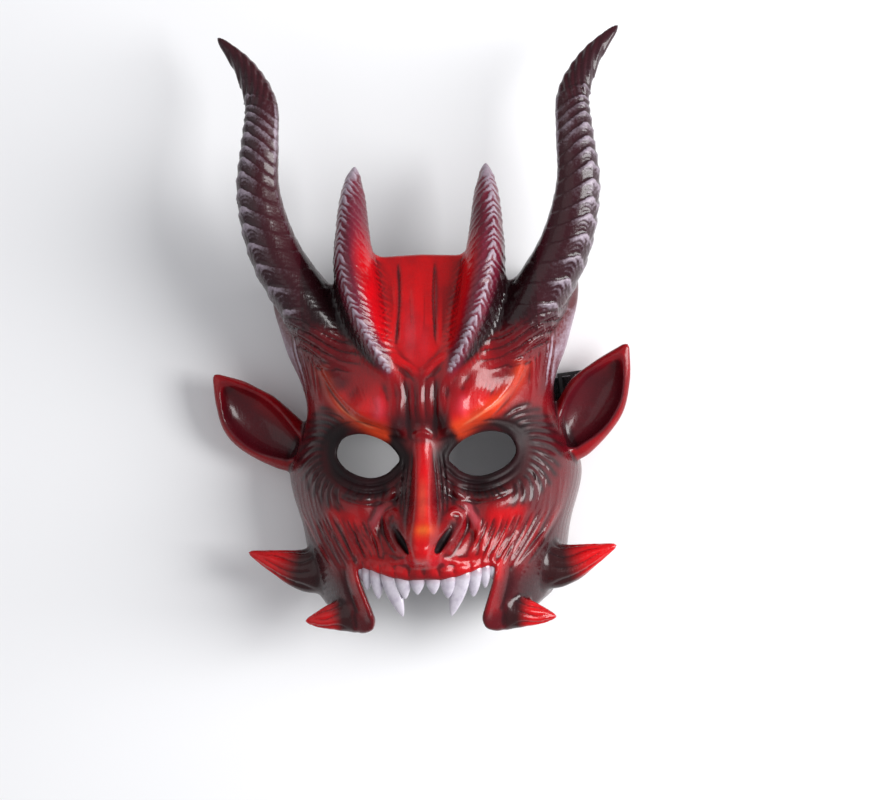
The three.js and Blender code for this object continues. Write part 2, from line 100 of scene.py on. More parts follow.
right = np.array([math.cos(ROLL) * math.cos(YAW), -math.sin(ROLL), -math.cos(ROLL) * math.sin(YAW)])
back = np.array([math.sin(YAW), 0.0, math.cos(YAW)])
up = np.cross(back, right)
spot = to_row(PIVOT + right * FRAMING[0] + up * FRAMING[1] + back * CAMERA_HEIGHT)
camera_data = bpy.data.cameras.new("camera")
camera_data.sensor_width = SENSOR
camera_data.lens = SENSOR * VIEW_DISTANCE / VIEW_WIDTH
camera = bpy.data.objects.new("camera", camera_data)
turned = np.array([right, up, back]).T
camera.matrix_world = Matrix([[*row, place] for row, place in zip(turned, spot)] + [[0, 0, 0, 1]])
bpy.context.scene.collection.objects.link(camera)
bpy.context.scene.camera = camera
print("lens, mm:", round(camera_data.lens, 1))

# %% [markdown]
# Everything on the mask is a soft transition, so we need a few small helpers: a smooth step, a smooth
# line through a table of measures, and a smooth line through points in space.

# %% Helpers for smooth shapes
def step(low, high, value):
    """0 below low, 1 above high, and a smooth slope between."""
    t = np.clip((value - low) / (high - low), 0.0, 1.0)
    return t * t * (3.0 - 2.0 * t)


def table(pairs):
    """A smooth function through (position, value) pairs."""
    rows = np.array(sorted(pairs), float)
    at, value = rows[:, 0], rows[:, 1]
    slope = np.empty(len(rows))
    slope[1:-1] = (value[2:] - value[:-2]) / (at[2:] - at[:-2])
    slope[0] = (value[1] - value[0]) / (at[1] - at[0])
    slope[-1] = (value[-1] - value[-2]) / (at[-1] - at[-2])
    fine = np.linspace(at[0], at[-1], 600)
    i = np.clip(np.searchsorted(at, fine, side="right") - 1, 0, len(rows) - 2)
    gap = at[i + 1] - at[i]
    t = (fine - at[i]) / gap
    curve = ((2 * t**3 - 3 * t**2 + 1) * value[i] + (t**3 - 2 * t**2 + t) * gap * slope[i]
             + (3 * t**2 - 2 * t**3) * value[i + 1] + (t**3 - t**2) * gap * slope[i + 1])
    return lambda x: np.interp(x, fine, curve).astype(np.float32)


def smooth_line(points, count):
    """Points along a centripetal Catmull-Rom line, and their share of the way from station to station."""
    p = np.array(points, float)
    p = np.vstack([2 * p[0] - p[1], p, 2 * p[-1] - p[-2]])
    share = np.linspace(0, len(points) - 1, count)
    i = np.minimum(share.astype(int), len(points) - 2)
    t = (share - i)[:, None]
    a, b, c, d = p[i], p[i + 1], p[i + 2], p[i + 3]
    gaps = [np.linalg.norm(v, axis=1) for v in (b - a, c - b, d - c)]
    ab, bc, cd = (np.maximum(gap, 1e-6)[:, None] ** 0.5 for gap in gaps)
    start = ((b - a) / ab - (c - a) / (ab + bc) + (c - b) / bc) * bc
    end = ((c - b) / bc - (d - b) / (bc + cd) + (d - c) / cd) * bc
    places = ((2 * t**3 - 3 * t**2 + 1) * b + (t**3 - 2 * t**2 + t) * start
              + (3 * t**2 - 2 * t**3) * c + (t**3 - t**2) * end)
    return places, share / (len(points) - 1)


def join(a, b, soft):
    """The union of two solids, with a fillet of about the given size."""
    mix = np.clip(0.5 + 0.5 * (b - a) / soft, 0, 1)
    return b + (a - b) * mix - soft * mix * (1 - mix)


def cut(a, b, soft):
    """What two solids share, with a rounded edge of about the given size."""
    return -join(-a, -b, soft)


# %% [markdown]
# The face is measured as a row of stations from chin to brow: half width and depth. Its cross-section is
# a squarish ellipse, and the temples bulge out towards the horns.

# %% The plain face
FACE = [(-112, 64, 74), (-88, 70, 82), (-70, 75.5, 85), (-45, 79.5, 83), (-14, 87, 81), (8, 80, 82),
        (30, 72.5, 86), (60, 72, 86), (90, 72, 79), (118, 70, 70)]
face_half = table([(y, half) for y, half, depth in FACE])
face_depth = table([(y, depth) for y, half, depth in FACE])
temple_flare = table([(12, 0), (31, 7), (44, 12), (57, 18), (71, 23), (86, 28), (100, 30), (118, 27)])
FLARE_MIDDLE, FLARE_REACH, FLARE_ROOT = 52.0, 24.0, 22.0
SQUARENESS, WALL = 2.4, 6.0
FAR, HIGHEST = 20.0, 45.0


def face_shape(x, y, z, inset=0.0):
    """Distance from the plain face, and how much its surface looks sideways and forwards."""
    flare = temple_flare(y) * np.exp(-(((z + inset - FLARE_MIDDLE) / FLARE_REACH) ** 2))
    side = np.maximum(np.abs(x) - flare * step(0, FLARE_ROOT, np.abs(x)), 0) / (face_half(y) - inset)
    front = np.maximum(z, 0) / (face_depth(y) - inset)
    r = (side**SQUARENESS + front**SQUARENESS) ** (1 / SQUARENESS)
    sideways = side ** (SQUARENESS - 1) / (face_half(y) - inset)
    forwards = front ** (SQUARENESS - 1) / (face_depth(y) - inset)
    steep = np.sqrt(sideways**2 + forwards**2) + 1e-9
    distance = (r - 1) * np.maximum(r, 1e-3) ** (SQUARENESS - 1) / steep
    distance = np.where(r < 0.4, -FAR, np.clip(distance, -FAR, HIGHEST))
    return distance, sideways / steep, forwards / steep


# %% [markdown]
# The carving on the face is drawn on a board: a grid seen from the front that holds a height at each
# place. A stroke adds a ridge or a groove along a line, as a modelling tool would. This is quicker to
# judge than moving vertices, and every stroke keeps its own name and size.

# %% The drawing board
GRAIN = 0.35
BOARD_X = np.arange(-114, 114 + GRAIN, GRAIN, dtype=np.float32)
BOARD_Y = np.arange(-114, 124 + GRAIN, GRAIN, dtype=np.float32)
BX, BY = np.meshgrid(BOARD_X, BOARD_Y)
AX = np.abs(BX)


def near(line, reach, samples=26):
    """The part of the board within reach of a line, with its distance and the share of the way along."""
    p = smooth_line(line, samples)[0] if len(line) > 2 else np.linspace(line[0], line[1], samples)
    lo, hi = p.min(0) - reach, p.max(0) + reach
    cols = slice(*np.searchsorted(BOARD_X, (lo[0], hi[0])))
    rows = slice(*np.searchsorted(BOARD_Y, (lo[1], hi[1])))
    x, y = BX[rows, cols], BY[rows, cols]
    best, along = np.full(x.shape, 1e9, np.float32), np.zeros(x.shape, np.float32)
    for i in range(len(p) - 1):
        (ax, ay), (dx, dy) = p[i], p[i + 1] - p[i]
        t = np.clip(((x - ax) * dx + (y - ay) * dy) / (dx * dx + dy * dy + 1e-9), 0, 1)
        d = np.hypot(x - ax - t * dx, y - ay - t * dy)
        closer = d < best
        best[closer], along[closer] = d[closer], ((i + t) / (len(p) - 1))[closer]
    return (rows, cols), best, along


def stroke(layer, line, amount, width, taper=0.3, flat=2.0):
    """Add a ridge, or a groove where amount is negative, that fades out at its two ends."""
    window, d, t = near(line, 3 * width)
    ends = step(0, taper, t) * step(0, taper, 1 - t) if taper else 1.0
    layer[window] += amount * ends * np.exp(-((d / width) ** flat))


def mirrored(line, wander=0.0):
    """A line for each half of the face, each a little different, because hands made them."""
    for side in (1, -1):
        yield [(side * (x + rng.normal(0, wander)), y + rng.normal(0, wander)) for x, y in line]


def between(first, last, count):
    """Lines in even steps from the first one to the last one."""
    a, b = np.array(first, float), np.array(last, float)
    return [a + (b - a) * i / (count - 1) for i in range(count)]


def spot_of(x, y, rx, ry):
    return np.exp(-(((BX - x) / rx) ** 2) - ((BY - y) / ry) ** 2)


def both_spots(x, y, rx, ry):
    return np.exp(-(((AX - x) / rx) ** 2) - ((BY - y) / ry) ** 2)


def outline_distance(points, rounding=0):
    """Signed distance on the board from a closed outline, negative inside."""
    p = np.array(points, float)
    q = np.roll(p, -1, axis=0)
    best, inside = np.full(BX.shape, 1e9, np.float32), np.zeros(BX.shape, bool)
    for (ax, ay), (bx, by) in zip(p, q):
        dx, dy = bx - ax, by - ay
        t = np.clip(((BX - ax) * dx + (BY - ay) * dy) / (dx * dx + dy * dy + 1e-9), 0, 1)
        best = np.minimum(best, np.hypot(BX - ax - t * dx, BY - ay - t * dy))
        if ay != by:
            inside ^= ((ay > BY) != (by > BY)) & (BX < ax + (BY - ay) * dx / dy)
    return np.where(inside, -best, best)


print("board:", BX.shape)

# %% [markdown]
# The mask ends in an outline: the forehead's edge, the jaw on both sides, and the open mouth under the
# teeth. The eyes are holes. Both are drawn once, and later cut through the shell.

# %% Outline and eye holes
CROWN = [(24, 113), (38, 108), (50, 95), (60, 95), (74, 104), (92, 106), (108, 102), (112, 84)]
JAW = [(96, -62), (74, -82), (63, -91), (52, -103), (40, -107), (33, -105), (31, -99)]
MOUTH = [(34, -90), (38.5, -77), (41, -67.5), (33, -69), (22, -73), (10, -75.5)]
half_outline = [(0, 114)] + CROWN + JAW + MOUTH + [(0, -75)]
outline = outline_distance(half_outline + [(-x, y) for x, y in half_outline[-2:0:-1]])

for _ in range(50):
    padded = np.pad(outline, 1, mode="edge")
    outline = 0.25 * (padded[:-2, 1:-1] + padded[2:, 1:-1] + padded[1:-1, :-2] + padded[1:-1, 2:])
outline = outline.astype(np.float32)

EYE = [(14.5, -5.5), (20, 3), (30, 8.5), (40, 10), (49, 7), (52.5, -2), (47, -10), (33, -15.5), (22, -13)]
eye_line = smooth_line(EYE[-2:] + EYE + EYE[:2], 130)[0]
eye_line = eye_line[np.arange(20, 110)]
eyes = np.minimum(outline_distance(eye_line), outline_distance(eye_line * [-1, 1]))
print("eye hole, mm:", np.ptp(eye_line, axis=0).round(1))

# %% [markdown]
# Now the big forms: nose, brows, sockets, cheekbones and the lip over the teeth.

# %% Big forms of the face
nose_height = table([(16, 0), (6, 3), (-20, 10), (-44, 20), (-55, 23), (-63, 17), (-69, 3), (-76, 0)])
nose_half = table([(16, 4.5), (-20, 6), (-40, 8), (-53, 9.5), (-62, 8), (-72, 6)])
brow_edge = table([(8, 7), (17, 9.6), (36, 17.5), (50, 31), (58, 44), (64, 60)])
BROW_HEIGHT, BROW_EDGE, BROW_FADE = 7.0, 5.0, 25.0

above_brow = BY - brow_edge(AX)
brow = (BROW_HEIGHT * step(-BROW_EDGE / 2, BROW_EDGE, above_brow)
        * np.exp(-((np.maximum(above_brow, 0) / BROW_FADE) ** 2))
        * step(7, 15, AX) * (1 - step(54, 66, AX)))
nose = nose_height(BY) / (1 + (AX / nose_half(BY)) ** 4)
carving = nose + brow + sum(height * both_spots(x, y, rx, ry) for height, x, y, rx, ry in [
    (-9, 35, -1, 24, 17), (5, 50, -31, 20, 14), (-4, 27, -32, 7, 20), (5, 0, -72, 34, 13),
    (3, 0, 27, 8, 19), (9, 14.5, -48, 6.5, 10.5)])
inner_carving = 0.55 * carving
relief = carving.copy()
print("carving, mm:", relief.min().round(1), relief.max().round(1))

# %% [markdown]
# The brow has a low rolled rim, a dished middle with fine streaks and soft folds. Between the brows the
# skin gathers in upright furrows that meet in a V.

# %% Brows and forehead
BROW_RIMS = ([(60, 57), (57.5, 44), (54, 36), (44.8, 26.7), (31, 17.2), (22, 12.2), (16.5, 9.6)],
             [(-61, 56), (-58, 43), (-54, 31.8), (-46, 22.8), (-35, 15.4), (-25.3, 11), (-17, 8)])


def rims(part=slice(None), down=0.0):
    """The rolled rim under each brow, or a part of it, moved down by so many millimetres."""
    return [[(x, y - down) for x, y in line[part]] for line in BROW_RIMS]


for line in rims():
    stroke(relief, line, 1.6, 2.3, 0.12)
for line in rims(slice(3, None), 2.0):
    stroke(relief, line, 1.0, 2.6, 0.3)
for line in mirrored([(54, 54), (50, 44), (43, 35), (33, 27)], 0.3):
    stroke(relief, line, -3.0, 9.0, 0.3)
for line in mirrored([(25.5, 36), (24, 28), (25, 21), (28, 17)], 0.3):
    stroke(relief, line, 0.8, 3.4, 0.35)
for streak in between([(52, 48), (46, 38), (42, 29)], [(31, 38), (28.5, 30), (27, 22)], 8):
    for line in mirrored(streak, 0.5):
        stroke(relief, line, -0.28, 0.6, 0.35)
BROW_ENDS = [[(25, 51), (18.5, 38), (14, 27)], [(31, 47), (26, 38), (21.5, 29)],
             [(-23.5, 44), (-20, 34), (-19, 20)]]
for line in BROW_ENDS:
    stroke(relief, line, -0.7, 2.8, 0.4)

for x, depth in ((3.0, -0.5), (8.0, -0.65), (14.8, -0.6)):
    for line in mirrored([(x + 1.8, 43), (x, 32), (x - 0.2, 22), (x - 0.6, 13)], 0.4):
        stroke(relief, line, depth, 1.3, 0.35)
for x, height in ((0, 0.35), (5.5, 0.6), (11.4, 0.8)):
    for line in mirrored([(x + 1.6, 44), (x, 33), (x, 24), (x, 13)], 0.4):
        stroke(relief, line, height, 1.5, 0.35)
for line in mirrored([(18, 57), (11.5, 52.5), (5, 47), (0, 42)], 0.2):
    stroke(relief, line, 1.2, 2.0, 0.3)
for line in mirrored([(18.5, 49), (11, 46), (5, 42), (0.5, 37)], 0.2):
    stroke(relief, line, -0.3, 1.4, 0.35)

GROOVES = {"left": (-13, 0.2), "right": (8.9, -0.2)}
for x, lean in GROOVES.values():
    stroke(relief, [(x, 112), (x + 6 * lean, 88), (x - 4 * lean, 58)], -1.0, 0.9, 0.22)
    stroke(relief, [(x + 2.2 * math.copysign(1, x), 110), (x + 2.4, 60)], 0.5, 1.5, 0.3)
stroke(relief, [(-3, 112), (-2.4, 86), (-1, 54)], 0.7, 3.2, 0.3)
stroke(relief, [(-5.6, 100), (-5, 80), (-4, 62)], -0.25, 0.7, 0.4)
stroke(relief, [(3, 100), (3, 80), (2, 62)], -0.25, 0.7, 0.4)

# %% [markdown]
# Each eye sits in a rolled lid with two more folds under it, and one crease follows it above. Lash-like
# wrinkles fan out from its outer corner, and finer ones run down from the lower lid. Each fold is a row
# of distance from the eye hole, width, height, and the share of it that goes on above the eye.

# %% Lids and wrinkles
lower = step(8, -8, BY)
LIDS = [(2.2, 1.4, 0.8, 0.2), (4.4, 0.7, -0.9, 0.3), (6.4, 1.2, 0.8, 0),
        (8.7, 0.7, -0.9, 0), (12.0, 1.9, 0.9, 0), (15.4, 0.9, -0.7, 0)]
for at, width, height, above in LIDS:
    fold = np.exp(-(((eyes - at) / width) ** 2)) * (lower + above * (1 - lower))
    relief += height * fold * step(58, 44, AX) * step(8, 16, AX)
for line in mirrored([(18, 7.5), (27, 12.6), (39, 14.4), (49, 11.6), (56, 4)], 0.2):
    stroke(relief, line, 0.7, 0.9, 0.3)
for line in mirrored([(20, 11), (29, 15.2), (41, 17), (52, 14), (60, 6)], 0.3):
    stroke(relief, line, -0.6, 0.7, 0.3)

EYE_MIDDLE = (36.0, -3.0)


def ray(angle, inner, outer, bend):
    """A wrinkle that runs outwards from the middle of the eye, and bends on its way."""
    points = []
    for share in (0, 0.35, 0.7, 1):
        turn = math.radians(angle + bend * share**1.5)
        r = inner + (outer - inner) * share
        points.append((EYE_MIDDLE[0] + r * math.cos(turn), EYE_MIDDLE[1] + 0.92 * r * math.sin(turn)))
    return points


LASHES = [(angle, 23.0, 34 + 9 * math.cos(math.radians(angle - 20)), -20) for angle in range(-54, 64, 9)]
for i, (angle, inner, outer, bend) in enumerate(LASHES):
    size = 0.6 + 0.3 * (i % 2)
    for line in mirrored(ray(angle + rng.normal(0, 2.5), inner, outer + rng.normal(0, 3), bend), 0.5):
        stroke(relief, line, size, 1.3, 0.45)
    for line in mirrored(ray(angle + 4, inner - 0.5, outer - 1, bend), 0.4):
        stroke(relief, line, -0.9, 0.8, 0.4)
UNDER_EYE = list(range(-128, -70, 8))
for angle in UNDER_EYE:
    for line in mirrored(ray(angle + rng.normal(0, 2), 20, 28 + rng.normal(0, 2), 10), 0.4):
        stroke(relief, line, -0.35, 0.7, 0.35)

# %% [markdown]
# The nose is a flat-topped ridge with fluted sides, a round tip and raised wings around the nostrils. A
# sharp fold runs from the inner corner of each eye down the cheek.

# %% Nose and cheeks
for offset in (8.2, 10.6, 13.0):
    for line in mirrored([(offset - 2.5, 2), (offset - 1, -12), (offset, -26), (offset + 0.6, -40)], 0.3):
        stroke(relief, line, -1.0, 0.7, 0.3)
    crest = [(offset - 1.3, 0), (offset + 0.2, -12), (offset + 1.2, -26), (offset + 1.8, -38)]
    for line in mirrored(crest, 0.3):
        stroke(relief, line, 0.7, 0.8, 0.3)
stroke(relief, [(-6.5, 7.6), (0, 10.6), (6.5, 7.6)], 1.2, 1.3, 0.2)
relief += 2.2 * spot_of(0, -57, 7.5, 6.5)

NOSTRIL = [(19.4, -39), (16.2, -46), (11.5, -53.5), (9, -57.5)]
WING_RIM = [(13.5, -39), (17.5, -35.2), (22, -37.5), (21.5, -44), (18, -51), (13.5, -58)]
for line in mirrored(WING_RIM, 0.1):
    stroke(relief, line, 2.4, 2.0, 0.18)
for line in mirrored([(24.6, -36), (24.6, -45), (20.5, -54), (15.5, -61)], 0.2):
    stroke(relief, line, -1.6, 1.3, 0.3)

CHEEK_FOLD = [(17.5, -17), (20, -24), (26, -36), (31, -48), (33.5, -58)]
for line in mirrored(CHEEK_FOLD, 0.2):
    stroke(relief, line, 2.2, 3.0, 0.25)
for line in mirrored([(15.5, -18), (16.5, -26), (18, -33)], 0.2):
    stroke(relief, line, -1.0, 1.6, 0.3)

FIBRES = between([(33, -39), (28.5, -51), (24.5, -64)], [(78, -31), (68, -50), (52, -74)], 15)
for i, fibre in enumerate(FIBRES):
    height = 0.85 + 0.35 * math.sin(2.4 * i)
    for line in mirrored(fibre, 0.9):
        stroke(relief, line, height, 0.85, 0.3)
    for line in mirrored(np.array(fibre) + [1.4, -0.4], 0.7):
        stroke(relief, line, -1.0, 0.75, 0.3)
for fibre in between([(36, -47), (31, -58)], [(66, -45), (53, -64)], 9):
    for line in mirrored(fibre, 1.2):
        stroke(relief, line, -0.6, 0.5, 0.35)
for fibre in between([(66, -6), (64, -22), (60, -40)], [(80, -12), (77, -34), (69, -58)], 6):
    for line in mirrored(fibre, 0.8):
        stroke(relief, line, 0.6, 0.8, 0.35)

# %% [markdown]
# The lip swells over the teeth in one small bump for each tooth. The open mouth has a rolled edge on
# both sides, and the temples carry long flutes that come down from the horns. Each tooth is a row of
# place across, gum line, width, length, lean inwards, and how pointed it is.

# %% Mouth, temples and jaw
TEETH = [(4.5, -74, 8.8, 9.6, 0, 1.5), (13, -73.4, 8.8, 12.6, 0.6, 1.4), (21.4, -72, 10, 24.5, 7.2, 1.4),
         (28.6, -70.2, 7.8, 15.5, 1.2, 1.2), (34, -68.2, 6.6, 12.5, 0.8, 1.2),
         (38.5, -67, 5.6, 9, 0.4, 1.2)]
for x, gum, width, length, lean, taper in TEETH:
    relief += 1.3 * both_spots(x, gum + 3.2, width * 0.42, 3.4)
    relief -= 0.8 * both_spots(x + width / 2, gum + 3.2, 0.9, 3.2)
for line in mirrored([(42.5, -63), (41.5, -70), (39.5, -80), (35.5, -92), (32.8, -102)], 0.1):
    stroke(relief, line, 1.8, 2.6, 0.15)
for line in mirrored([(49, -62), (48, -74), (44, -88), (40, -98)], 0.2):
    stroke(relief, line, -1.2, 1.8, 0.25)
for line in mirrored([(4, -62), (14, -64), (26, -64), (36, -61)], 0.3):
    stroke(relief, line, 0.9, 1.6, 0.3)
for x, y in rng.uniform((-32, -70), (32, -60), (26, 2)):
    relief += 0.45 * spot_of(x, y, 1.6, 1.3)

FIRST_FLUTE = [(63.5, 78), (64.5, 58), (63.5, 42), (62, 27)]
LAST_FLUTE = [(76, 76), (75, 60), (71.5, 44), (69, 26)]
for flute in between(FIRST_FLUTE, LAST_FLUTE, 6):
    for line in mirrored(flute, 0.35):
        stroke(relief, line, 1.3, 1.1, 0.22)
    for line in mirrored(np.array(flute) + [1.2, 0], 0.3):
        stroke(relief, line, -1.1, 0.7, 0.25)
for i in range(5):
    fold = [(71 - i, 72.5 - 4.2 * i), (62, 68.6 - 4.3 * i), (53, 67.5 - 4.4 * i),
            (42 + 1.6 * i, 62.5 - 3.4 * i)]
    for line in mirrored(fold, 0.5):
        stroke(relief, line, 1.5, 1.2, 0.3)
    for line in mirrored(np.array(fold) - [0, 2.1], 0.4):
        stroke(relief, line, -1.2, 0.9, 0.3)
for streak in between([(52, -66), (62, -70), (72, -76)], [(50, -84), (58, -90), (64, -94)], 7):
    for line in mirrored(streak, 0.6):
        stroke(relief, line, 0.5, 0.8, 0.3)
print("relief, mm:", relief.min().round(1), relief.max().round(1))

# %% [markdown]
# Horns, spikes and ears are limbs along a bent centre line. For each place in space we find the nearest
# place on that line, which gives how far along the limb it is and where it lies across it.

# %% Limbs
class Limb:
    def __init__(self, name, stations, exponent=2.0, samples=72, blunt=0.03):
        s = np.array(stations, float)
        self.name, self.exponent = name, exponent
        self.centre, self.share = smooth_line(s[:, :3], samples)
        self.ahead = np.gradient(self.centre, axis=0)
        self.length = np.linalg.norm(self.ahead, axis=1)
        self.ahead /= self.length[:, None]
        across = np.cross(self.ahead, [0, 0, 1])
        self.across = across / np.linalg.norm(across, axis=1)[:, None]
        self.deep = np.cross(self.across, self.ahead)
        marks = np.linspace(0, 1, len(s))
        round_off = np.sqrt(np.clip(1 - (np.clip(self.share - 1 + blunt, 0, None) / blunt) ** 2, 0.02, 1))
        self.half = np.stack([table(list(zip(marks, s[:, k])))(self.share) * round_off for k in (3, 4)], 1)
        reach = self.half.max() + 9
        self.low, self.high = self.centre.min(0) - reach, self.centre.max(0) + reach

    def measure(self, p):
        """Distance, share of the way along, and place across and in depth, for the points near the limb."""
        close = ((p > self.low) & (p < self.high)).all(1)
        q = p[close].astype(np.float32)
        best, k = np.full(len(q), 1e9, np.float32), np.zeros(len(q), int)
        for i, c in enumerate(self.centre.astype(np.float32)):
            d = ((q - c) ** 2).sum(1)
            closer = d < best
            best[closer], k[closer] = d[closer], i
        step_on = ((q - self.centre[k]) * self.ahead[k]).sum(1) / self.length[k]
        f = np.clip(k + step_on, 0, len(self.centre) - 1.001)
        i = f.astype(int)
        w = (f - i)[:, None]
        blend = lambda v: v[i] * (1 - w) + v[i + 1] * w
        off = q - blend(self.centre)
        half = blend(self.half)
        a, b = (off * blend(self.across)).sum(1), (off * blend(self.deep)).sum(1)
        u, v = a / half[:, 0], b / half[:, 1]
        n = self.exponent
        r = (np.abs(u) ** n + np.abs(v) ** n) ** (1 / n) + 1e-6
        steep = np.hypot(np.abs(u) ** (n - 1) / half[:, 0], np.abs(v) ** (n - 1) / half[:, 1])
        slope = steep * r ** (1 - n)
        d = np.clip((r - 1) / (slope + 1e-6), -half.min(1), FAR)
        past = np.maximum(np.abs(k + step_on - f) - 0.01, 0) * self.length[k]
        d = np.where(past > 0, np.hypot(np.maximum(d, 0), past) + np.minimum(d, 0), d)
        share = self.share[i] * (1 - w[:, 0]) + self.share[i + 1] * w[:, 0]
        height = blend(self.centre)[:, 1]
        return close, d, {"share": share, "height": height, "a": a, "half": half[:, 0], "u": u, "v": v,
                          "x": np.abs(q[:, 0]), "y": q[:, 1]}


def flipped(stations):
    return [(-s[0], *s[1:]) for s in stations]


# %% [markdown]
# The big horns sweep out and up, pinch, and curl at the tip. Overlapping scales wrap their outer side.
# Each scale rises slowly and drops sharply at its upper edge, which leaves a notch in the outline. A limb
# is a row of stations, each with a place in space and half a width and half a depth.

# %% Big horns
BIG_HORN = [(30, 38, 50, 13, 15), (46, 58, 60, 17, 19), (68, 88, 66, 16, 21), (85, 117, 72, 14.5, 16),
            (93.5, 152, 75, 12.2, 12), (92, 182, 73, 10.4, 9.6), (91.5, 204, 69, 9, 8.2),
            (101, 225, 64, 6.4, 6), (118, 245, 58, 1.6, 1.6)]
NOTCHES = [50, 60, 70.8, 81.2, 92.8, 105.6, 116.8, 127.6, 137.5, 146.2, 155.4, 164, 171.7, 178.6,
           186.2, 192.6, 198.4, 203.6, 211, 221, 233, 247]
RIDGE_AT = 0.76


def scale_profile(phase, sharp=0.14):
    """Height of a row of overlapping scales: a slow rise, then a sharp drop."""
    f = phase - np.floor(phase)
    return f**1.3 * (1 - step(1 - sharp, 1, f))


def big_horn_relief(m):
    u, v, half, h = m["u"], m["v"], m["half"], m["height"]
    front = step(-0.5, 0.4, v)
    off = (u - RIDGE_AT) * half
    slant = np.where(off < 0, np.hypot(0.62 * off, 0.9) - 0.9, np.hypot(1.3 * off, 0.9) - 0.9)
    phase = np.interp(h + slant * (0.35 + 0.65 * front), NOTCHES, np.arange(len(NOTCHES)))
    outer = step(-0.75, 0.75, u)
    fade = 1 - step(205, 226, h)
    scales = (0.45 + 0.65 * outer) * scale_profile(phase, 0.1) * fade * step(62, 80, h)
    swirl = 4 * phase + 0.12 * off + 0.6 * np.sin(0.5 * off)
    lines = 0.13 * np.sin(2 * np.pi * swirl) * (0.4 + 0.6 * outer) * fade
    ridge = 0.5 * np.exp(-(((u - RIDGE_AT) * half / 2.4) ** 2)) * front * fade
    twist = 0.35 * np.sin(2 * np.pi * (h + 1.9 * m["a"]) / 7.5) * step(196, 208, h) * (1 - step(228, 243, h))
    rim = 0.6 * np.exp(-(((u + 0.95) / 0.13) ** 2)) * step(70, 90, h)
    slope = m["y"] - 0.42 * m["x"]
    folds = np.abs(np.sin(np.pi * (slope + 1.6 * np.sin(0.16 * m["x"])) / 5.8)) ** 0.7 - 0.5
    folds *= 1.9 * front * step(20, 32, slope) * step(52, 42, slope)
    return scales + lines + ridge + twist + rim + folds, phase, outer


# %% [markdown]
# The small horns stand on the forehead. A pale ridge runs down each of them to the brows, and grooves
# slant away from it on both sides, like the barbs of a feather.

# %% Small horns
SMALL_HORN = [(13.5, 34, 77, 1.8, 4), (17, 44, 80, 3.5, 6), (26, 62, 80, 8.5, 14),
              (33.5, 84, 79, 11.5, 20), (38, 107, 76, 11.8, 20), (39, 128, 71, 9.6, 15),
              (39, 148, 65, 7, 10), (38.6, 167, 58, 1.8, 2.4)]
small_ridge = table([(44, 0.0), (62, 0.12), (80, 0.3), (100, 0.46), (128, 0.6), (150, 0.62), (167, 0.5)])
BARB = 4.3


def small_horn_relief(m):
    u, half, h = m["u"], m["half"], m["height"]
    front = step(-0.2, 0.35, m["v"])
    off = (small_ridge(h) - u) * half
    phase = (h + np.where(off > 0, 1.05 * off, -1.3 * off)) / BARB
    phase = phase + 0.22 * np.sin(0.37 * h + 0.2 * off) + 0.12 * np.sin(0.9 * h)
    inner = np.exp(-((np.maximum(off, 0) / 11) ** 2))
    barbs = (0.25 + 0.75 * inner) * scale_profile(phase, 0.25)
    crest = 1.1 * np.exp(-((off / 2.9) ** 2)) * front
    lines = 0.12 * np.sin(2 * np.pi * 2 * phase)
    fade = step(46, 60, h) * (1 - step(158, 167, h))
    crest = crest * step(40, 56, h) * (1 - step(156, 166, h))
    return (barbs + lines) * fade + crest, phase, off


# %% [markdown]
# The four cheek spikes are fluted cones. The ears are leaves with a rolled rim around a smooth cup, and
# the two are moulded at slightly different heights.

# %% Spikes and ears
UPPER_SPIKE = [(66, -70, 36, 14.5, 13.5), (78, -69.5, 37, 12, 11),
               (93, -64.5, 39, 6.8, 6.4), (109, -58.5, 41, 1.3, 1.3)]
LOWER_SPIKE = [(46, -95.5, 58, 10, 9), (56, -96.5, 58, 8.2, 7.6),
               (65, -98, 58, 5, 4.8), (74, -99, 58, 1.1, 1.1)]


def spike_relief(m, flutes):
    turn = np.arctan2(m["v"], m["u"])
    wander = 0.5 * np.sin(9 * m["share"] + 2 * turn)
    wave = np.abs(np.sin(0.5 * flutes * turn + wander)) ** 0.7
    return 1.25 * (wave - 0.6) * step(1.0, 0.75, m["share"]) * step(0.05, 0.3, m["share"])


EAR_FOOT = np.array([72, -4, 20.0])
EARS = {"left": (-1, (57, 51, 8), [(0, 0, 0), (0.21, 0.137, 0), (0.614, 0.47, 0.25),
                                   (0.825, 0.755, 0.625), (1, 1, 1)]),
        "right": (1, (45.5, 63.5, 10), [(0, 0, 0), (0.198, 0.142, 0), (0.55, 0.488, 0.3),
                                        (0.791, 0.748, 0.6), (1, 1, 1)])}
EAR_WIDTHS, EAR_DEPTHS = [9, 15.5, 18.5, 12, 1.4], [8, 10, 9, 6, 1.4]
CUP_FROM, CUP_TO, CUP_SHARE, CUP_LIFT, CUP_BITE, CUP_BLUNT = 0.22, 0.953, 0.82, 8.5, 0.35, 0.12


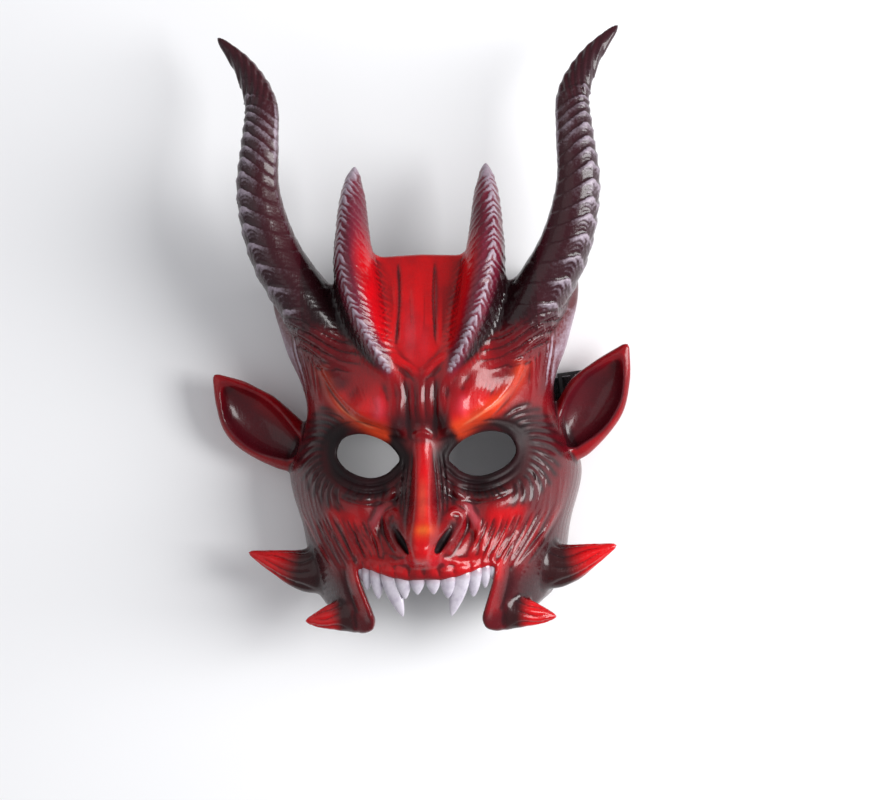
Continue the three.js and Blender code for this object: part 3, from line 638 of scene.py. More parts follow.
def ear_limbs(name):
    side, reach, shares = EARS[name]
    line = [(EAR_FOOT + np.array(s) * reach) * [side, 1, 1] for s in shares]
    ear = Limb(name + "_ear", [(*at, w, d) for at, w, d in zip(line, EAR_WIDTHS, EAR_DEPTHS)])
    marks = np.linspace(0, 1, 5)
    width, depth = table(list(zip(marks, EAR_WIDTHS))), table(list(zip(marks, EAR_DEPTHS)))
    centre, share = smooth_line(line, 401)
    cup = []
    for mark in marks:
        t = CUP_FROM + (CUP_TO - CUP_FROM) * mark
        at = centre[int(round(t * 400))] + [0, 0, CUP_LIFT]
        swell = max(math.sin(math.pi * (CUP_BLUNT + (1 - CUP_BLUNT) * mark)), 0) ** 0.5
        cup_half = max(0.6, CUP_SHARE * float(width(t)) * swell)
        cup_deep = max(1, (CUP_LIFT + CUP_BITE * float(depth(t))) * swell)
        cup.append((*at, cup_half, cup_deep))
    return ear, Limb(name + "_ear_cup", cup)


LIMBS = {}
for side, turn in (("right", lambda s: s), ("left", flipped)):
    LIMBS[side + "_big_horn"] = Limb("big horn", turn(BIG_HORN))
    LIMBS[side + "_small_horn"] = Limb("small horn", turn(SMALL_HORN), 1.75, blunt=0.05)
    LIMBS[side + "_upper_spike"] = Limb("spike", turn(UPPER_SPIKE), samples=36, blunt=0.05)
    LIMBS[side + "_lower_spike"] = Limb("spike", turn(LOWER_SPIKE), samples=30, blunt=0.08)
    LIMBS[side + "_ear"], LIMBS[side + "_cup"] = ear_limbs(side)
print("limbs:", len(LIMBS))


def limb_field(name, p):
    """Distance from a limb with its relief on, and what the paint needs to know about the place."""
    close, d, m = LIMBS[name].measure(p)
    if name.startswith("left"):
        m["u"] = -m["u"] if "ear" not in name and "cup" not in name else m["u"]
        m["a"] = m["u"] * m["half"]
    if "big_horn" in name:
        height, m["phase"], m["outer"] = big_horn_relief(m)
        d = d - height
    elif "small_horn" in name:
        height, m["phase"], m["off"] = small_horn_relief(m)
        d = d - height
    elif "spike" in name:
        d = d - spike_relief(m, 9 if "upper" in name else 8)
    whole = np.full(len(p), FAR, np.float32)
    whole[close] = d
    return whole, close, m


# %% [markdown]
# The shell needs three more measures: a board's value at any place, the height of the back rim, which
# rises at the foot of the jaw and arches where the strap comes out, and soft flutes on the sides.

# %% Rim, sides and boards
RIM_RISE = (-107.0, -72.0, -52.0, 40.0)
ARCH = (17.0, 46.0, 9.0)
turns = np.linspace(0, 1, 60)
rise_y = (1 - turns) ** 2 * RIM_RISE[0] + 2 * turns * (1 - turns) * RIM_RISE[1] + turns**2 * RIM_RISE[2]
rise_z = (1 - turns) ** 2 * RIM_RISE[3]


def sample(board, x, y):
    """A board's value at any place, and at its edge beyond it."""
    col = np.clip((x - BOARD_X[0]) / GRAIN, 0, len(BOARD_X) - 1.001)
    row = np.clip((y - BOARD_Y[0]) / GRAIN, 0, len(BOARD_Y) - 1.001)
    i, j = row.astype(int), col.astype(int)
    s, t = (row - i).astype(np.float32), (col - j).astype(np.float32)
    if board.ndim == 3:
        s, t = s[:, None], t[:, None]
    return (board[i, j] * (1 - s) * (1 - t) + board[i, j + 1] * (1 - s) * t
            + board[i + 1, j] * s * (1 - t) + board[i + 1, j + 1] * s * t)


def rim_height(y):
    lift = np.interp(y, rise_y, rise_z)
    u = np.clip((y - ARCH[0]) / (ARCH[1] - ARCH[0]), 0, 1)
    return lift + 4 * ARCH[2] * u * (1 - u)


def side_relief(x, y, z):
    """Soft long flutes on the sides, which the board can't reach because it is seen from the front."""
    waves = np.sin(0.9 * z + 0.16 * y + 2.2 * np.sin(0.045 * y)) + 0.6 * np.sin(1.7 * z - 0.1 * y + 1.3)
    return 0.05 * waves * step(8, 18, z)


# %% [markdown]
# All forms now come together as one field of distances: the shell, the limbs joined to it with soft
# fillets, less the hollow for the face, the nostrils and everything outside the outline.

# %% The whole mask as one field
NOSTRIL_HEIGHTS, NOSTRIL_RADIUS, NOSTRIL_STRETCH = (93, 95, 97, 97), 2.3, 0.42
HORN_FILLET, SMALL_FILLET = 8.0, 3.5


def mask_field(p, parts=False):
    x, y, z = p.T.astype(np.float32)
    shell, sideways, forwards = face_shape(x, y, z)
    facing = step(0.16, 0.42, forwards)
    height = sample(carving, x, y) + (sample(relief, x, y) - sample(carving, x, y)) * facing
    height = height * (0.4 * sideways**2 + forwards**2) * np.minimum(1, np.maximum(z, 0) / 15)
    shell = shell - height - side_relief(x, y, z) * (1 - facing)
    shell = cut(shell, sample(outline, x, y), 2.4)
    shell = cut(shell, rim_height(y) - z, 1.2)
    found = {"face": shell}
    whole = shell
    for name in LIMBS:
        if name.endswith("cup"):
            continue
        d, close, m = limb_field(name, p)
        if name.endswith("ear"):
            cup = limb_field(name.replace("_ear", "_cup"), p)[0]
            d = cut(d, -cup, 2.0)
            found[name + "_cup"] = cup
        found[name] = d
        whole = join(whole, d, HORN_FILLET if "horn" in name else SMALL_FILLET)
        if parts:
            found[name + "_at"] = (close, m)
    found["solid"] = whole
    hollow, _, _ = face_shape(x, y, z, WALL)
    hollow = hollow - sample(inner_carving, x, y) * step(0, 15, z)
    hollow = cut(hollow, y - 121, 1.0)
    whole = cut(whole, -hollow, 1.0)
    whole = cut(whole, -sample(eyes, x, y), 2.2)
    for side in (1, -1):
        nostril = np.full(len(p), FAR, np.float32)
        ends = [(side * x, y, z) for (x, y), z in zip(NOSTRIL, NOSTRIL_HEIGHTS)]
        for a, b in zip(ends[:-1], ends[1:]):
            start, run = np.array(a, np.float32), np.subtract(b, a).astype(np.float32)
            t = np.clip(((p - start) @ run) / (run @ run), 0, 1)
            off = p - start - t[:, None] * run
            gap = np.sqrt(off[:, 0] ** 2 + off[:, 1] ** 2 + (NOSTRIL_STRETCH * off[:, 2]) ** 2)
            nostril = np.minimum(nostril, gap - NOSTRIL_RADIUS)
        whole = cut(whole, -nostril, 1.4)
    whole = cut(whole, -z, 0.6)
    return (whole, found, facing) if parts else whole


# %% [markdown]
# The field becomes a mesh. We look at it first on a coarse grid, then compute it finely only in the cells
# that the surface passes through, and let OpenVDB, which comes with Blender, draw the skin.

# %% Mesh the field
CELL = 0.8
COARSE = 4
LOW, HIGH = np.array([-136.0, -113, -3]), np.array([126.0, 252, 112])
shape = (np.ceil((HIGH - LOW) / (CELL * COARSE)).astype(int) + 1)
CHUNK, CLIP = 400000, 3.0


def grid_points(index, spacing, offset):
    return (LOW + (index + offset) * spacing).astype(np.float32)


def evaluate(points):
    parts = [mask_field(points[i:i + CHUNK]) for i in range(0, len(points), CHUNK)]
    return np.concatenate(parts).astype(np.float32)


cells = np.stack(np.meshgrid(*[np.arange(n) for n in shape], indexing="ij"), -1).reshape(-1, 3)
rough = evaluate(grid_points(cells, CELL * COARSE, 0.5 - 0.5 / COARSE)).reshape(shape)
inside = np.pad(rough < 0, 1, mode="edge")
around = [inside[i:i + shape[0], j:j + shape[1], k:k + shape[2]] for i, j, k in np.ndindex(3, 3, 3)]
crossed = (np.any(around, axis=0) != np.all(around, axis=0)) | (np.abs(rough) < 1.5 * CELL * COARSE / 2)
busy = np.argwhere(crossed)
print("busy cells:", len(busy), "of", len(cells))

fine = np.where(rough < 0, -CLIP, CLIP).astype(np.float32)
for axis in range(3):
    fine = np.repeat(fine, COARSE, axis)
nook = np.stack(np.meshgrid(*[np.arange(COARSE)] * 3, indexing="ij"), -1).reshape(-1, 3)
for i in range(0, len(busy), CHUNK // COARSE**3):
    index = (busy[i:i + CHUNK // COARSE**3, None, :] * COARSE + nook[None]).reshape(-1, 3)
    fine[tuple(index.T)] = np.clip(mask_field(grid_points(index, CELL, 0.0)), -CLIP, CLIP)
volume = openvdb.FloatGrid(CLIP)
volume.copyFromArray(fine)
skin, quads = volume.convertToQuads(0.0)
skin = LOW + skin.astype(float) * CELL
print("skin:", len(skin), "points,", len(quads), "quads")
print("box, mm:", skin.min(0).round(1), skin.max(0).round(1))


# %% [markdown]
# Paint on a sculpted foam follows the form: dark washes sit in the grooves and a dry brush catches the
# edges. We measure both by smoothing a copy of the skin and seeing which points sink or rise.

# %% Grooves and edges
sides = np.vstack([quads[:, [0, 1]], quads[:, [1, 2]], quads[:, [2, 3]], quads[:, [3, 0]]])
sides = np.unique(np.sort(sides, axis=1), axis=0)
start = np.concatenate([sides[:, 0], sides[:, 1]])
end = np.concatenate([sides[:, 1], sides[:, 0]])
neighbours = np.bincount(start, minlength=len(skin)).clip(1)


def relaxed(values, rounds):
    """Each point moved to the middle of its neighbours, again and again."""
    for _ in range(rounds):
        sums = [np.bincount(start, column[end], len(skin)) for column in values.T]
        values = np.stack(sums, 1) / neighbours[:, None]
    return values


corner = skin[quads]
facet = np.cross(corner[:, 2] - corner[:, 0], corner[:, 3] - corner[:, 1])
normal = np.stack([np.bincount(quads.ravel(), np.repeat(facet[:, k], 4), len(skin)) for k in range(3)], 1)
normal /= np.linalg.norm(normal, axis=1)[:, None] + 1e-12
FINE_ROUNDS, BROAD_ROUNDS = ((8, 26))
calm = relaxed(skin, FINE_ROUNDS)
calmer = relaxed(calm, BROAD_ROUNDS)
groove_fine = ((calm - skin) * normal).sum(1)
groove_broad = ((calmer - calm) * normal).sum(1)
for what, depth in (("fine", groove_fine), ("broad", groove_broad)):
    print(what, "grooves, mm:", np.percentile(depth, [1, 50, 99]).round(2))

# %% [markdown]
# The face's colours go on the same board as its carving, one brush at a time: crimson all over, bright
# red on the forehead and nose, charcoal around the eyes and orange on the brows' rims. Pink and pale
# strokes are painted highlights, and a few dark and maroon ones are painted shade.

# %% Colours of the face
def tone(r, g, b):
    """A colour picked on a screen, as linear light."""
    c = np.array([r, g, b], float) / 255
    return np.where(c <= 0.04045, c / 12.92, ((c + 0.055) / 1.055) ** 2.4).astype(np.float32)


RED, CRIMSON, MAROON, DARK = tone(198, 4, 12), tone(138, 5, 14), tone(74, 6, 16), tone(29, 8, 12)
# The pink colour is only used for painted highlights.
CHARCOAL, ORANGE, HIGHLIGHT_PINK, LILAC = tone(14, 9, 11), tone(212, 62, 24), tone(206, 58, 74), tone(160, 147, 160)
coat = np.empty(BX.shape + (3,), np.float32)
coat[:] = CRIMSON


def brush(colour, mask, strength=1.0):
    coat[:] += (colour - coat) * np.clip(mask * strength, 0, 1)[..., None]


def brushed(lines, width, flat=2.0, taper=0.2):
    layer = np.zeros(BX.shape, np.float32)
    for line in lines:
        stroke(layer, line, 1.0, width, taper, flat)
    return np.clip(layer, 0, 1)


brush(MAROON, step(44, 66, AX) * step(34, 6, BY), 0.85)
brush(MAROON, step(-54, -84, BY), 0.8)
brush(MAROON, step(30, 46, AX) * step(-44, -64, BY), 0.6)
brush(DARK, step(50, 70, AX) * step(-34, -62, BY), 0.85)
brush(DARK, both_spots(58, -84, 10, 12), 0.7)
brush(MAROON, step(58, 72, AX) * step(16, 36, BY), 0.85)
brush(RED, step(26, 15, AX) * step(36, 58, BY))
brush(RED, step(34, 18, AX - 0.25 * (BY - 50)) * step(44, 62, BY), 0.8)
brush(MAROON, step(14, 34, AX - 0.3 * (BY - 60)) * step(62, 84, BY), 0.55)
# painted highlight: a pink streak down the middle of the forehead
brush(HIGHLIGHT_PINK, spot_of(-5, 68, 4, 15) + 0.6 * spot_of(3, 62, 3, 12), 0.35)
brush(MAROON, brushed([[(x, 112), (x + 1, 88), (x - 0.5, 60)] for x, lean in GROOVES.values()], 1.3), 0.75)
# painted shade: dark on the forehead between the small horns and the big horns
brush(DARK, step(18, 30, AX - 0.35 * (BY - 60)) * step(70, 96, BY), 0.4)
brush(RED, brushed(mirrored([(61, -31), (47, -37), (34, -44)]), 7, 2, 0.35), 0.75)
brush(RED, brushed((line for fibre in FIBRES[::2] for line in mirrored(fibre, 0.5)), 1.4, 2, 0.4), 0.3)
brush(MAROON, brushed((line for fibre in FIBRES[1::2] for line in mirrored(fibre, 0.5)), 1.6, 2, 0.3), 0.6)
brush(RED, brushed(mirrored([(26, -56), (36, -58), (48, -56)]), 7), 0.35)
brush(CRIMSON, both_spots(46, 40, 13, 16), 0.8)
# painted shade: maroon in the upper outer part of each brow's bowl
brush(MAROON, both_spots(53, 50, 9, 13), 0.6)
brush(RED, both_spots(31, 24, 12, 10))
# painted highlight: pink at the inner end of each brow's bowl
brush(HIGHLIGHT_PINK, both_spots(24.5, 20, 4.5, 9), 0.6)
brush(RED, brushed(mirrored([(16, 54), (8, 50), (0, 43)]), 4), 0.8)
brush(MAROON, both_spots(7, 30, 9, 16), 0.55)
brush(DARK, spot_of(0, 15, 20, 8), 0.75)
brush(DARK, both_spots(12, 16, 6, 8), 0.8)
brush(CHARCOAL, both_spots(15, 4, 6, 12), 0.9)
brush(DARK, brushed(mirrored([(10.5, 4), (11, -10), (12.5, -24), (15, -36)]), 6.0), 0.9)
brush(MAROON, brushed(mirrored([(8, -22), (9.5, -34), (12, -44)]), 2.5), 0.5)
brush(RED, brushed([[(0, 6), (0, -12), (0, -30), (0, -52), (0, -64)]], 4.8, 4, 0.05))
brush(CRIMSON, spot_of(0, 9, 8, 4), 0.8)
brush(tone(226, 96, 70), brushed([[(0, -12), (0.5, -30), (1, -46)]], 2.6, 2, 0.4), 0.45)
brush(ORANGE, spot_of(1, -46, 6, 4.2), 0.85)
brush(tone(232, 120, 40), spot_of(1.5, -45.5, 3.5, 2.2), 0.5)
brush(RED, spot_of(0, -62, 11, 6))
brush(MAROON, brushed(mirrored([(22.5, -38), (21, -46), (15, -57)]), 2.2), 0.5)
# painted highlight: pale pink along the fold that runs down each cheek
brush(tone(196, 92, 104), brushed(mirrored([(24, -27), (28, -37), (32, -48)]), 3.0, 2, 0.35), 0.4)
# painted shade: dark in the nostrils
brush(DARK, brushed(mirrored(NOSTRIL), 3.0, 3), 0.9)
brush(RED, both_spots(14, -68, 26, 6), 0.75)
# painted highlight: pink on the upper lip under the nose
brush(HIGHLIGHT_PINK, both_spots(9, -65, 5, 3), 0.3)
brush(CRIMSON, brushed(mirrored([(43, -64), (42.5, -72), (39.5, -84), (35, -100)]), 4.2, 3), 0.9)
brush(RED, brushed(mirrored([(43.5, -62), (42.5, -70), (41, -78)]), 2.4, 2), 0.6)
brush(DARK, brushed(mirrored([(50, -66), (48, -78), (43, -92)]), 3.0, 2), 0.6)
brush(CHARCOAL, step(11.5, 3.5, eyes), 0.95)
brush(CHARCOAL, both_spots(57, 10, 12, 13), 0.95)
brush(CHARCOAL, both_spots(44, 15, 15, 5), 0.9)
brush(CHARCOAL, both_spots(52, -12, 13, 10) + both_spots(32, -20, 17, 7), 0.85)
brush(DARK, both_spots(36, -25, 20, 7.5), 0.85)
brush(CHARCOAL, brushed((line for a in UNDER_EYE for line in mirrored(ray(a, 17, 29, 10), 0.3)), 1.3), 0.8)
brush(CHARCOAL, brushed((line for a, i, o, b in LASHES
                         for line in mirrored(ray(a + 4.5, i, o + 2, b), 0.3)), 1.6), 0.85)
brush(MAROON, brushed((line for a, i, o, b in LASHES
                       for line in mirrored(ray(a, i + 3, o, b), 0.3)), 0.9), 0.7)
brush(MAROON, brushed(mirrored([(47, 7.5), (40, 12), (30, 10.5), (20, 5)]), 1.6), 0.5)
# painted shade: maroon along the deepest part of each brow's bowl
brush(MAROON, brushed(mirrored([(56, 52), (52, 42), (45, 35)]), 7), 0.7)
brush(RED, brushed(rims(slice(2, None), -6.0), 4.5), 0.7)
# painted highlight: a pink line down the inner wall of each brow's bowl
brush(HIGHLIGHT_PINK, brushed(mirrored([(25.5, 33), (24.5, 24), (27, 17)]), 2.2), 0.5)
brush(ORANGE, brushed(rims(slice(None), -2.0), 4.0, 2, 0.12), 0.6)
brush(ORANGE, brushed(rims(slice(2, None), 0.4), 3.4, 2, 0.3), 0.8)
brush(ORANGE, brushed(rims(slice(4, None), 1.2), 4.2, 2, 0.45), 0.85)
# painted highlight: a thin pale line along the crest of each brow's rim
brush(tone(236, 150, 106), brushed(rims(slice(2, 6), -0.8), 0.6, 2, 0.3), 0.45)

# %% [markdown]
# Off the board the colour follows the limb: scales from maroon to near black with silver grey on their
# edges, feathered small horns with a pale ridge, spikes from dark to red, and ears red at the rim with a
# painted highlight in the middle of the cup. Each kind of limb gives its colour and the share of silver
# that a dry brush left on it; in the ears' cups that share holds the painted highlight.

# %% Paint of the limbs
def mixed(a, b, share):
    return a + (b - a) * share[:, None]


def big_horn_paint(m, f):
    h, u, outer = m["height"], m["u"], m["outer"]
    colour = mixed(tone(62, 8, 18), tone(42, 19, 26), step(66, 104, h) * (0.45 + 0.55 * outer))
    colour = mixed(colour, CRIMSON * 0.8, step(84, 62, h) * 0.6)
    shine = outer * (0.14 + 0.24 * f**2) * step(70, 95, h) * (1 - 0.7 * step(206, 222, h))
    crest = 0.30 * np.exp(-(((u - RIDGE_AT + 0.14) / 0.32) ** 2)) * (0.35 + 0.65 * f)
    shine += crest * step(72, 92, h) * (1 - 0.6 * step(206, 222, h))
    shine += 0.38 * np.exp(-(((h - 186) / 17) ** 2)) * step(0.5, -0.5, u)
    shine += 0.22 * np.exp(-(((u + 0.93) / 0.08) ** 2)) * step(80, 100, h)
    return colour, shine + 0.12 * np.exp(-(((h - 150) / 30) ** 2))


def small_horn_paint(m, f):
    h, off = m["height"], m["off"]
    colour = mixed(tone(98, 24, 42), DARK, step(-2.5, -6, off))
    red_share = step(5, 13, off) * step(138, 96, h) + step(3, 9, off) * step(84, 60, h)
    colour = mixed(colour, RED * 0.85 + CRIMSON * 0.15, np.clip(red_share, 0, 0.92))
    shine = 0.62 * np.exp(-(((off - 0.6) / 3.0) ** 2)) * (0.55 + 0.45 * f)
    shine += 0.34 * f**1.5 * np.exp(-((off / 10) ** 2)) * (1 - red_share * 0.6)
    shine += 0.26 * step(120, 160, h) + 0.10 * step(-3, -7, off)
    return colour, shine * step(40, 48, h)


def spike_paint(m, from_at, full_at):
    colour = mixed(tone(46, 14, 16), RED, step(from_at, full_at, m["share"]))
    return colour, 0.22 * step(0.85, 1.0, m["share"]) + 0.05


def ear_paint(m, cup, red_side):
    share, u = m["share"], m["u"]
    in_cup = step(2.6, 0.4, cup)
    colour = mixed(CRIMSON, tone(84, 14, 24), in_cup)
    redder = (step(0.1, 0.6, u) if red_side else 0) + step(0.62, 0.9, share)
    colour = mixed(colour, CRIMSON, 0.6 * in_cup * np.clip(redder, 0, 1))
    # painted highlight: a lilac sheen in the middle of the glossy cup
    shine = 0.34 * in_cup * np.exp(-(((share - 0.47) / 0.2) ** 2) - ((u - 0.1) / 0.45) ** 2)
    return colour, shine + 0.10 * step(1.0, 0.2, np.abs(cup - 1.4)) * step(0.3, 0.5, share)


# %% [markdown]
# Four values go to every point of the skin: its paint, how much silver the dry brush left together with
# the painted highlights on the temples and in the ears' cups, how much dark wash lies in it, and how matt
# it is. The black round the eyes is matt, and the inside is bare dark foam.

# %% Paint every point
matte_board = step(13, 5, eyes) + both_spots(55, 0, 13, 18)
INSIDE = tone(30, 24, 26)


def shade_points(p):
    whole, found, facing = mask_field(p, parts=True)
    x, y, z = p.T
    flank = mixed(MAROON, DARK, 0.6 * step(-20, -70, y))
    # Partly grey dry brush, partly painted highlight: lilac on the temple flanks under the horns.
    flank = mixed(flank, LILAC * 0.5, 0.35 * step(20, 60, y) * step(62, 80, np.abs(x)))
    paint = mixed(flank, sample(coat, x, y), facing)
    # Partly silver dry brush, partly painted highlight: silver on the sides under the horns, strongest on the
    # temples.
    drybrush_and_highlight = 0.12 * step(40, 70, y) * step(60, 78, np.abs(x)) + 0.04 * (1 - facing) * step(0, 40, y)
    drybrush_and_highlight = drybrush_and_highlight + 0.65 * step(26, 40, y) * step(66, 74, np.abs(x)) * step(92, 70, y)
    for name, d in found.items():
        if name + "_at" not in found:
            continue
        close, m = found[name + "_at"]
        other = np.minimum(found["face"][close], FAR)
        weight = step(2.5, -2.5, d[close] - other) * (step(0.0, 0.14, m["share"]) if "horn" in name else 1)
        f = m.get("phase", 0) - np.floor(m.get("phase", 0))
        if "big_horn" in name:
            colour, shine = big_horn_paint(m, f)
        elif "small_horn" in name:
            colour, shine = small_horn_paint(m, f)
        elif "spike" in name:
            colour, shine = spike_paint(m, *((0.36, 0.72) if "upper" in name else (0.16, 0.5)))
        else:
            colour, shine = ear_paint(m, found[name + "_cup"][close], name.startswith("left"))
        paint[close] += (colour - paint[close]) * weight[:, None]
        drybrush_and_highlight[close] += (shine - drybrush_and_highlight[close]) * weight
    inner = step(-1.8, -3.6, found["solid"])
    paint += (INSIDE - paint) * inner[:, None]
    matte = np.clip(sample(matte_board, x, y), 0, 1) * facing
    return paint, drybrush_and_highlight * (1 - inner), inner, np.maximum(matte, inner)


shaded = [shade_points(skin[i:i + CHUNK].astype(np.float32)) for i in range(0, len(skin), CHUNK)]
paint, drybrush_and_highlight, inner, matte = (np.concatenate([part[k] for part in shaded]) for k in range(4))
wash = np.clip(groove_fine / 0.16, 0, 1) * 0.55 + np.clip(groove_broad / 0.9, 0, 1) * 0.3
edge = np.clip(-groove_fine / 0.14, 0, 1)
drybrush_and_highlight = np.clip(drybrush_and_highlight * (0.7 + 0.7 * edge) + 0.05 * edge, 0, 1) * (1 - 0.6 * wash)
wash = wash * (1 - inner)
print("paint ready; silver over half on", int((drybrush_and_highlight > 0.5).sum()), "points")

# %% [markdown]
# Every finish here is a procedural material. A small class keeps their recipes short: it mixes colours,
# noise and numbers, and puts the result on the shader.

# %% A short way to write materials
class Finish:
    """A procedural material, with short names for the nodes that we use."""

    def __init__(self, name):
        self.material = bpy.data.materials.new(name)
        self.material.use_nodes = True
        self.tree = self.material.node_tree
        self.shader = self.tree.nodes["Principled BSDF"].inputs
        self.place = self.tree.nodes.new("ShaderNodeTexCoord").outputs["Object"]

    def put(self, socket, value):
        """A number or a colour goes straight on the socket, and anything else is linked to it."""
        if isinstance(value, (int, float)):
            socket.default_value = value
        elif isinstance(value, (tuple, np.ndarray)):
            socket.default_value = (*map(float, value), 1.0)
        else:
            self.tree.links.new(value, socket)

    def noise(self, scale, detail=3.0, rough=0.55, place=None):
        node = self.tree.nodes.new("ShaderNodeTexNoise")
        for socket, value in (("Scale", scale), ("Detail", detail), ("Roughness", rough)):
            node.inputs[socket].default_value = value
        self.tree.links.new(place or self.place, node.inputs["Vector"])
        return node.outputs["Fac"]

    def remap(self, value, low, high, to_low=0.0, to_high=1.0):
        node = self.tree.nodes.new("ShaderNodeMapRange")
        node.interpolation_type = "SMOOTHSTEP"
        for socket, number in zip(("From Min", "From Max", "To Min", "To Max"), (low, high, to_low, to_high)):
            node.inputs[socket].default_value = number
        self.tree.links.new(value, node.inputs["Value"])
        return node.outputs["Result"]

    def calc(self, kind, a, b):
        node = self.tree.nodes.new("ShaderNodeMath")
        node.operation = kind
        self.put(node.inputs[0], a)
        self.put(node.inputs[1], b)
        return node.outputs[0]

    def add(self, *pairs):
        """The sum of values, each times its own factor."""
        total = None
        for value, factor in pairs:
            part = value if factor == 1 else self.calc("MULTIPLY", value, factor)
            total = part if total is None else self.calc("ADD", total, part)
        return total

    def blend(self, share, a, b):
        node = self.tree.nodes.new("ShaderNodeMix")
        node.data_type = "RGBA"
        for socket, value in zip((0, 6, 7), (share, a, b)):
            self.put(node.inputs[socket], value)
        return node.outputs[2]

    def from_points(self, name, output="Fac"):
        node = self.tree.nodes.new("ShaderNodeAttribute")
        node.attribute_name = name
        return node.outputs[output]

    def bump(self, height, strength, distance):
        node = self.tree.nodes.new("ShaderNodeBump")
        node.inputs["Strength"].default_value = strength
        node.inputs["Distance"].default_value = distance
        self.tree.links.new(height, node.inputs["Height"])
        self.tree.links.new(node.outputs["Normal"], self.shader["Normal"])


# %% [markdown]
# The lacquered paint is one material for the whole moulding. The painted colour comes from the points,
# and noise at several sizes breaks it up: cloudy paint, the speckle of a dry brush, brush streaks, and
# pores in the foam.

# %% Paint material
foam = Finish("lacquered_foam_paint")
cloud = foam.noise(38.0, 4.0)
speckle = foam.noise(620.0, 4.0, 0.7)
patch = foam.noise(150.0, 4.0, 0.65)
pores = foam.noise(900.0, 2.0, 0.6)
# The dry brush's share also holds the painted highlights on the temples and in the ears' cups.
drybrush_and_highlight_share = foam.from_points("drybrush_and_highlight")
matte_share = foam.from_points("matte")

shadow = foam.remap(cloud, 0.35, 0.75, 0.0, 0.45)
colour = foam.blend(shadow, foam.from_points("paint", "Color"), (0.03, 0.002, 0.005))
broken = foam.calc("SUBTRACT", foam.add((speckle, 0.75), (patch, 0.55)), 0.92)
reach = foam.calc("MINIMUM", foam.calc("MULTIPLY", drybrush_and_highlight_share, 3.0), 1.0)
drybrush_and_highlight_cover = foam.remap(foam.add((drybrush_and_highlight_share, 1), (foam.calc("MULTIPLY", reach, broken), 1)), 0.02, 0.85)
colour = foam.blend(foam.calc("MULTIPLY", drybrush_and_highlight_cover, 0.85), colour, LILAC)
soaked = foam.remap(foam.from_points("wash"), 0.1, 0.9, 0.0, 0.88)
foam.put(foam.shader["Base Color"], foam.blend(soaked, colour, tone(26, 8, 12)))

rough = foam.add((drybrush_and_highlight_cover, 0.2), (patch, 0.14), (matte_share, 0.28))
foam.put(foam.shader["Roughness"], foam.calc("ADD", rough, 0.2))
foam.put(foam.shader["Coat Roughness"], foam.remap(rough, 0.05, 0.4, 0.1, 0.4))
foam.put(foam.shader["Coat Weight"], foam.calc("SUBTRACT", 0.32, foam.calc("MULTIPLY", matte_share, 0.26)))
foam.put(foam.shader["Specular IOR Level"], 0.16)

stretched = foam.tree.nodes.new("ShaderNodeMapping")
stretched.inputs["Scale"].default_value = (3.2, 0.55, 1.2)
foam.tree.links.new(foam.place, stretched.inputs["Vector"])
streaks = foam.noise(330.0, 3.0, 0.6, stretched.outputs["Vector"])
foam.bump(foam.add((streaks, 0.9), (pores, 0.3), (patch, 0.6)), 0.4, 0.0005)
print("material:", foam.material.name)

# %% [markdown]
# Two helpers make a mesh from arrays, and hand a finished piece to the frame: it stays on the root body,
# takes the place of a imported solid, and gets its material.

# %% Making a piece
def fill_mesh(mesh, points, faces):
    """Fast way to fill a mesh from arrays of points and four-cornered faces."""
    mesh.vertices.add(len(points))
    mesh.vertices.foreach_set("co", np.ascontiguousarray(points, np.float32).ravel())
    mesh.loops.add(faces.size)
    mesh.loops.foreach_set("vertex_index", faces.astype(np.int32).ravel())
    mesh.polygons.add(len(faces))
    mesh.polygons.foreach_set("loop_start", np.arange(0, faces.size, faces.shape[1], dtype=np.int32))
    mesh.update(calc_edges=True)


def add_piece(name, mesh, finish, replaced):
    piece = bpy.data.objects.new(name, mesh)
    bpy.context.scene.collection.objects.link(piece)
    mesh.materials.append(finish.material)
    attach(piece, "root")
    if replaced:
        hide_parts(replaced)
    mesh.calc_loop_triangles()
    print(name, "triangles:", len(mesh.loop_triangles))


def put_attributes(mesh, values):
    for name, kind, data in values:
        layer = mesh.attributes.new(name, kind, "POINT")
        field = {"FLOAT_COLOR": "color", "FLOAT": "value", "FLOAT_VECTOR": "vector"}[kind]
        layer.data.foreach_set(field, np.ascontiguousarray(data, np.float32).ravel())


# %% [markdown]
# The skin is split into six closed pieces, so that none of them is heavy: the horns of each side, and the
# face in four quarters. They meet edge to edge and keep the whole skin's normals, so no seam shows.

# %% Pieces of the mask
HORN_LINE, CHEEK_LINE = 114.0, -12.0


